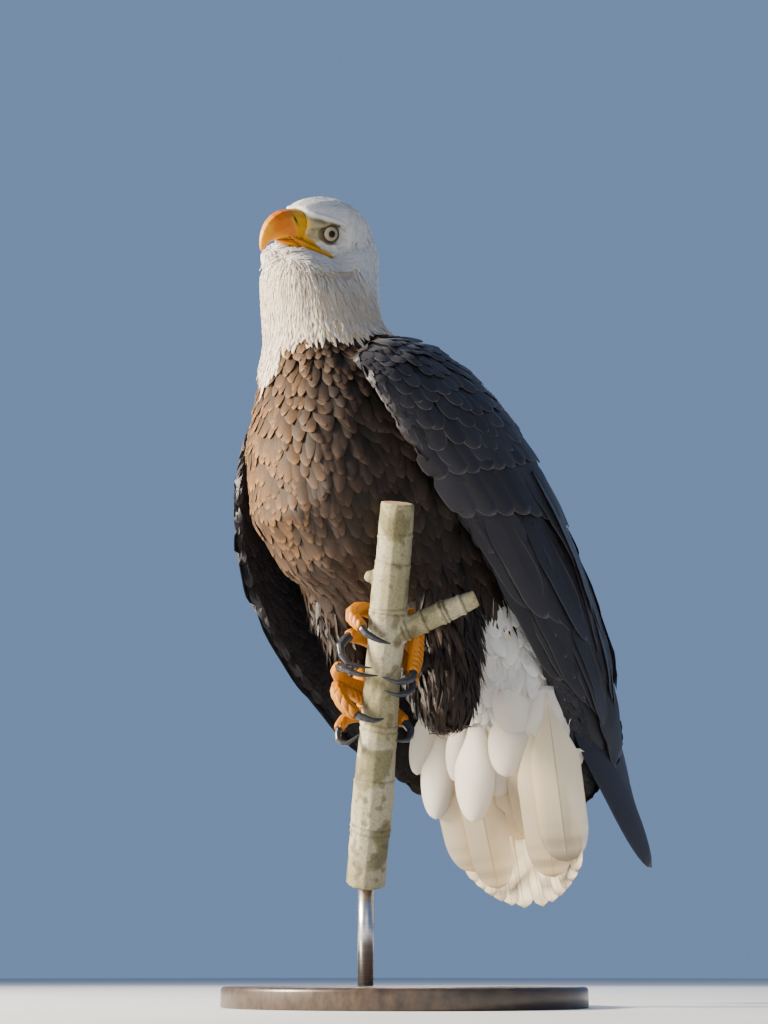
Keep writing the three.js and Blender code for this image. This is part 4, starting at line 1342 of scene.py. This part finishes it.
# Long coverts run from the rump's front down over the tail's root: root, tip and width, outermost last.
LONG_COVERTS = [
    ((29, 193, -27), (-8, 273, -144), 44),
    ((48, 198, -29), (11, 275, -149), 44),
    ((6, 187, -25), (-29, 278, -201), 48),
    ((66, 204, -28), (33, 275, -151), 46),
    ((-29, 186, -13), (-51, 263, -182), 52),
    ((84, 209, -24), (53, 276, -192), 52),
    ((102, 212, -4), (75, 273, -177), 54),
]
SMUDGED_COVERTS = (2, 4, 5, 6)
# The largest undertail coverts, hanging over the tail's root: start, tip and width.
PETALS = [
    ((-41, 182, -5), (-63, 180, -79), 30), ((-33, 190, -37), (-57, 204, -127), 40),
    ((4, 185, -21), (-10, 188, -91), 30), ((43, 201, -46), (22, 220, -107), 40),
    ((24, 186, -35), (-4, 208, -134), 46), ((64, 200, -16), (47, 205, -89), 46),
    ((95, 216, 6), (77, 226, -72), 50), ((68, 198, 20), (68, 207, -48), 56),
]

coat_vent = Flock("coat_vent")
# The coverts' cream and ivory carry a painted warm glow of light through them as well as their own tint.
for k, (start, end, width) in enumerate(LONG_COVERTS):
    tone = tail_tone(k) if k in SMUDGED_COVERTS else CREAM_WITH_GLOW[None, None] * RNG.uniform(0.92, 1.02)
    tone = np.broadcast_to(tone, (1, TAIL_ROWS, 3))
    blade(coat_vent, start, end, COVERT_FACE, width, MIDDLE_UV, tone, LONG_COVERT, TAIL_ROWS, bow=0.08,
          fringe=tone * [0.68, 0.60, 0.48], fringe_width=0.06, fringe_tip=0.02,
          shaft=CREAM_WITH_GLOW[None] * [0.5, 0.45, 0.4])
roots, uv = scattered(body, ["rump"], 19.0,
                      lambda p, n: (p[:, 2] > -30) & (n[:, 2] > -0.75) & (p[:, 1] > 125))
n = len(roots)
# Narrower and shorter where a wing is close.
tight = mix(1.0, 0.55, smooth(-12, -38, roots[:, 0])) * mix(1.0, 0.55, smooth(72, 98, roots[:, 0]))
length = np.minimum(RNG.uniform(66, 92, n), roots[:, 2] + 92) * tight**0.6
grow(coat_vent, body, roots, "body", length, RNG.uniform(36, 48, n) * tight, 6, tip=4, rows=12, columns=7,
     shape=PETAL, root_uv=uv, colour=varied(IVORY_WITH_GLOW, 0.04, n), hug=False, wander=0.12, tilt=0.06, camber=0.16,
     lift=np.abs(RNG.normal(0, 3, n)))
vent = scattered(body, ["rump"], 10.0, lambda p, n: (p[:, 2] > -5) & (p[:, 1] < 262) & (p[:, 1] > 125))
plant(coat_vent, body, "body", vent, (38, 58), (20, 30), plain_tones(SNOW, 0.03), 2, 5, 9, 5, PETAL,
      lift=3, hug=False, wander=0.22, tilt=0.06, camber=0.22)
wisps = scattered(body, ["rump"], 6.5, lambda p, n: (p[:, 2] > 0) & (p[:, 1] < 262) & (p[:, 1] > 130))
plant(coat_vent, body, "body", wisps, (18, 34), (1.2, 2.6), plain_tones(SNOW, 0.03), 0, 7, 6, 3, PLUME,
      lift=3, hug=False, wander=0.4, tilt=0.2, reach=3.0)
starts, tips, widths = (np.array([petal[i] for petal in PETALS], float) for i in range(3))
blade(coat_vent, starts, tips, COVERT_FACE, widths, np.full((len(PETALS), 2), 0.5),
      varied(IVORY_WITH_GLOW, 0.03, len(PETALS)), PETAL, 16, camber=0.25, bow=0.07,
      turn=RNG.normal(0, 0.15, len(PETALS)))
coat_vent.finish(WHITE_FEATHER, "white_feathers")

# ---- tail: feathers fanned about its middle ----------------------------------------------------------
tail = Flock("tail_feathers", "tail")
for k, share in enumerate(np.linspace(-1, 1, TAIL_FEATHERS)):
    share = np.sign(share) * abs(share) ** 0.75
    end = tail_place(share, TAIL_LENGTH * (1 - 0.1 * share**2))
    tone = tail_tone(k)
    blade(tail, tail_place(share, 0), end, TAIL_FACE, TAIL_WIDTH, MIDDLE_UV, tone, RECTRIX, TAIL_ROWS,
          turn=np.array([math.radians(-5) * np.sign(share)]), fringe=mix(tone, TAIL_EDGE, 0.45),
          fringe_width=0.06, fringe_tip=0.02, camber=0.06, thickness=0.6, shaft=TAIL_SHAFT, bow=0.012)
tail.finish(WHITE_FEATHER, "white_feathers")

# ---- wings -------------------------------------------------------------------------------------------
wings = {side: Guide([f"wing_{side}"]) for side in SIDES}


def sized(near, far=None, end=1.0):
    """A size in mm by station: near at the shoulder, far from station end on."""
    return lambda station: mix(near, near if far is None else far, smooth(0, end, station))


class Wing:
    """One wing's feathers: lesser, median and greater coverts, scapulars, and the long flight feathers."""

    def __init__(self, side):
        self.side, self.guide, self.turn = side, wings[side], SIDES[side]
        self.flock = Flock(f"coat_wing_{side}", f"primaries_{side}")
        stations, shares = np.meshgrid(np.linspace(0, 6, 49), np.linspace(0, 1, 17), indexing="ij")
        self.grid = np.stack([stations.ravel(), shares.ravel()], 1)
        self.places = self.guide.nearest(wing_place(side, self.grid[:, 0], self.grid[:, 1]))[0]

    def read(self, points):
        """Station, share from the leading edge, and how far the place is off the outer face in mm."""
        away = ((points[:, None] - self.places[None]) ** 2).sum(2)
        best = away.argmin(1)
        return self.grid[best, 0], self.grid[best, 1], np.sqrt(away.min(1))

    def uv(self, roots):
        return body.uv[body.nearest(roots)[2]]

    def tones(self, n, fringe):
        tone = varied(SOOT, 0.18, n)
        return tone, mix(tone, ASH, fringe * RNG.uniform(0.6, 1.2, (n, 1)))

    def cover(self, spacing, length, width, keep, tip=0.6, fringe=0.6, **extra):
        """Coverts scattered where keep(station, share, off) holds."""
        roots, _ = self.guide.scatter(lambda p: spacing(self.read(p)[0]), lambda p, _: keep(*self.read(p)))
        n, station = len(roots), self.read(roots)[0]
        tone, pale = self.tones(n, fringe)
        length = length(station) * RNG.uniform(0.92, 1.1, n)
        grow(self.flock, self.guide, roots, self.side, length, width(station), 3.0, tip=tip, rows=8,
             shape=COVERT, root_uv=self.uv(roots), colour=tone, fringe=pale, wander=0.06, tilt=0.04,
             fringe_width=0.12, fringe_tip=0.03, lean=0.06 * self.turn, **extra)

    def row(self, stations, shares, length, width, tip, fringe, rows=12, shape=COVERT, **extra):
        """A neat row. stations are (first, last, count), shares (first, last), length one size or two."""
        count = stations[2]
        places = wing_place(self.side, np.linspace(*stations), np.linspace(*shares, count))
        roots = self.guide.nearest(places)[0]
        length = np.linspace(*length, count) if isinstance(length, tuple) else length
        tone, pale = self.tones(count, fringe)
        grow(self.flock, self.guide, roots, self.side, length, width, 2.5, tip=tip, rows=rows, columns=7,
             shape=shape, root_uv=self.uv(roots), colour=tone, fringe=pale, wander=0.02, tilt=0.015,
             fringe_width=0.09, fringe_tip=0.02, lean=0.05 * self.turn, camber=0.08, noise=0.2, **extra)

    def build(self):
        # Plain ones on the inner face and round the rim.
        self.cover(sized(17), sized(60), sized(28), lambda s, e, off: (off > 28) & (s > 0.7) & (s < 5.6),
                   tip=-0.5, fringe=0.15, hug=False)
        self.cover(sized(6), sized(22), sized(10), lambda s, e, off: (off < 30) & ((off > 9) | (e < 0.09)),
                   tip=0.4, fringe=0.2, hug=False)
        # The long feathers: secondaries in two tiers, the inner ones over them, then three rows of coverts.
        self.row((3.5, 4.7, 12), (0.04, 0.5), 185, 40, 0.0, 0.35, 16, FLIGHT, hug=False)
        self.row((3.0, 3.9, 11), (0.06, 0.75), (150, 205), 44, 1.0, 0.4, 16, FLIGHT, hug=False)
        self.row((2.7, 4.3, 7), (0.55, 0.88), (165, 145), 50, 2.0, 0.45, 16, FLIGHT, hug=False)
        self.row((3.0, 4.6, 9), (0.02, 0.14), 70, 20, 1.6, 0.4)
        self.row((2.35, 2.9, 10), (0.03, 0.86), (84, 100), 36, 2.6, 0.55)
        self.row((2.1, 2.35, 11), (0.02, 0.84), (52, 62), 30, 3.0, 0.6)
        # Scaly lesser coverts over the shoulder, and scapulars along the back edge.
        self.cover(sized(9.0, 14.0, 2.2), sized(24, 42, 2.2), sized(17, 28, 2.2),
                   lambda s, e, off: (off < 12) & (s < 2.15) & (e < 0.85) & (e > 0.07), 2.2)
        self.cover(sized(15.0), sized(40, 56, 3), sized(24, 30, 3),
                   lambda s, e, off: (s < 4.2) & (e > mix(0.80, 0.88, smooth(2, 4, s))), 3.0, 0.5)
        self.primaries()
        self.flock.finish(DARK_FEATHER, "dark_feathers")

    def primaries(self):
        """Four long feathers that close the wing into its point."""
        outward = np.array([SIDES[self.side], 0.0, 0.0])
        lead, dorsal = np.split(catmull(WINGS[self.side], 6 * 16 / 19), 2)
        tip = np.array(PRIMARY_TIPS[self.side], float)
        for k in range(4):
            start = mix(lead, dorsal, 0.16 + 0.2 * k) + outward * 4
            end = mix(tip, start, k * 26 / np.linalg.norm(start - tip))
            tone, pale = self.tones(1, 0.3)
            blade(self.flock, start, end, unit(outward + [0, 0.2, 0.1]), 54, self.uv(start[None]), tone,
                  PRIMARY, 16, fringe=pale, camber=0.08, thickness=0.6, bow=0.01,
                  turn=np.array([0.06 * self.turn * (k - 1.5)]))


for side in SIDES:
    Wing(side).build()

# ---- perch -------------------------------------------------------------------------------------------
SHOOT_START = STEM_FOOT + STEM_AXIS * 27
SHOOT_WAY = unit(0.9 * RIGHTWARD + 0.35 * UP + 0.2 * TOWARDS)
STEM_ENDS = (-205.0, 150.0)
SHOOT_LENGTH = 98.0
SHOOT_RINGS = (16, 21, 40, 60, 64, 82)
STEM_RINGS = (-172, -166, -118, -66, -60, 52, 57, 104, 132)


def waves(points, scale, seed):
    """Smooth lumps between about -1 and 1."""
    ways = np.random.default_rng(seed).normal(0, 1 / scale, (7, 3))
    return np.sin(points @ ways.T + np.arange(7)).sum(1) / 3.2


def build_perch():
    """The cut stem and side shoot: ringed, lumpy bark and pale cut ends."""
    points, normals, quads = rebuilt(["branch"], 1.5, 0.1, 4)
    turned, height, distance = stem_places(points)
    along = (points - SHOOT_START) @ SHOOT_WAY
    off_shoot = np.linalg.norm(points - SHOOT_START - along[:, None] * SHOOT_WAY, axis=1)
    on_shoot = (along > 12) & (off_shoot < 15)
    rise, dark = 0.5 * waves(points, 9, 1) + 0.35 * waves(points, 3.5, 2), np.zeros(len(points))
    for ring in SHOOT_RINGS:
        groove = hill(along, ring + 2.4, 0.8) * on_shoot
        rise, dark = rise + 1.3 * hill(along, ring, 1.5) * on_shoot - 0.6 * groove, dark + 0.9 * groove
    for ring in STEM_RINGS:
        wobble = height - ring - 1.6 * np.sin(turned + ring)
        groove = hill(wobble, 2.4, 0.8) * ~on_shoot
        rise, dark = rise + 0.7 * hill(wobble, 0, 1.6) * ~on_shoot - 0.5 * groove, dark + 0.7 * groove
    low, high = np.array(STEM_ENDS) * np.linalg.norm(STEM_AXIS)
    ends = smooth(-1.2, 0.2, height - high) + smooth(1.2, -0.2, height - low)
    shoot_end = smooth(-1.2, 0.2, along - SHOOT_LENGTH) * on_shoot
    flat = np.clip(ends + shoot_end, 0, 1) * (np.abs(normals @ STEM_LEAN) > 0.7)
    flat = np.clip(flat + shoot_end * (normals @ SHOOT_WAY > 0.7), 0, 1)
    bark = tinge(BARK_DARK, BARK_PALE, smooth(-0.5, 0.6, waves(points, 26, 3)))
    bark = tinge(bark, LICHEN, smooth(0.35, 0.75, waves(points * [1, 1, 0.6], 11, 4)) * 0.8)
    speck = smooth(0.55, 0.85, waves(points * [1, 1, 1.4], 4.0, 5)) * 0.6
    bark = tinge(bark, SPECK, np.minimum(speck + dark, 0.9))
    radius = np.where(on_shoot, off_shoot, distance)
    wood = tinge(WOOD_PALE, WOOD_DARK, 0.5 + 0.5 * np.sin(radius * 2.2))
    points = points + normals * (rise * (1 - flat))[:, None]
    tinted_piece("perch", points, tinge(bark, wood, flat), [quads], BARK, "bark", "branch")


build_perch()


# ---- display stand -----------------------------------------------------------------------------------
def turned_piece(name, centre, profile, around, material, slot, node):
    """A closed piece turned about a vertical axis from (radius, height) rows, bottom first."""
    angle = np.linspace(0, 2 * np.pi, around, endpoint=False)
    ring = np.stack([np.cos(angle), np.sin(angle), 0 * angle], 1)
    points = np.concatenate([ring * radius + [0, 0, height] for radius, height in profile]) + centre
    thing = mesh_object(name, points, rings(len(profile), around))
    thing.data.polygons.foreach_set("use_smooth", [len(p.vertices) < 5 for p in thing.data.polygons])
    wear(thing, material, slot, node)


BASE_CENTRE = -BIRD_ZERO
BASE_RADIUS, BASE_TOP, BASE_ROUND = 185, 20, 4
ROD_RADIUS = 8
bevel = [
    (BASE_RADIUS - BASE_ROUND + BASE_ROUND * math.sin(a), BASE_TOP - BASE_ROUND + BASE_ROUND * math.cos(a))
    for a in np.linspace(math.pi / 2, 0, 7)
]
turned_piece("display_base", BASE_CENTRE, [(BASE_RADIUS - 1, 0), (BASE_RADIUS, 1.5), *bevel], 160, STAND_WOOD,
             "stand_wood", "stand_base")
stem_end = STEM_FOOT + STEM_AXIS * STEM_ENDS[0]
rod = [(ROD_RADIUS, BASE_CENTRE[2] + BASE_TOP + 0.4), (ROD_RADIUS, stem_end[2] + 12)]
turned_piece("display_rod", stem_end * [1, 1, 0], rod, 48, STAND_METAL, "stand_metal", "stand_rod")

# ---- floor -------------------------------------------------------------------------------------------
bpy.ops.mesh.primitive_plane_add(size=30, location=(0, 0, 0))
ground = bpy.context.object
ground.name = "floor"
ground.data.materials.append(FLOOR)
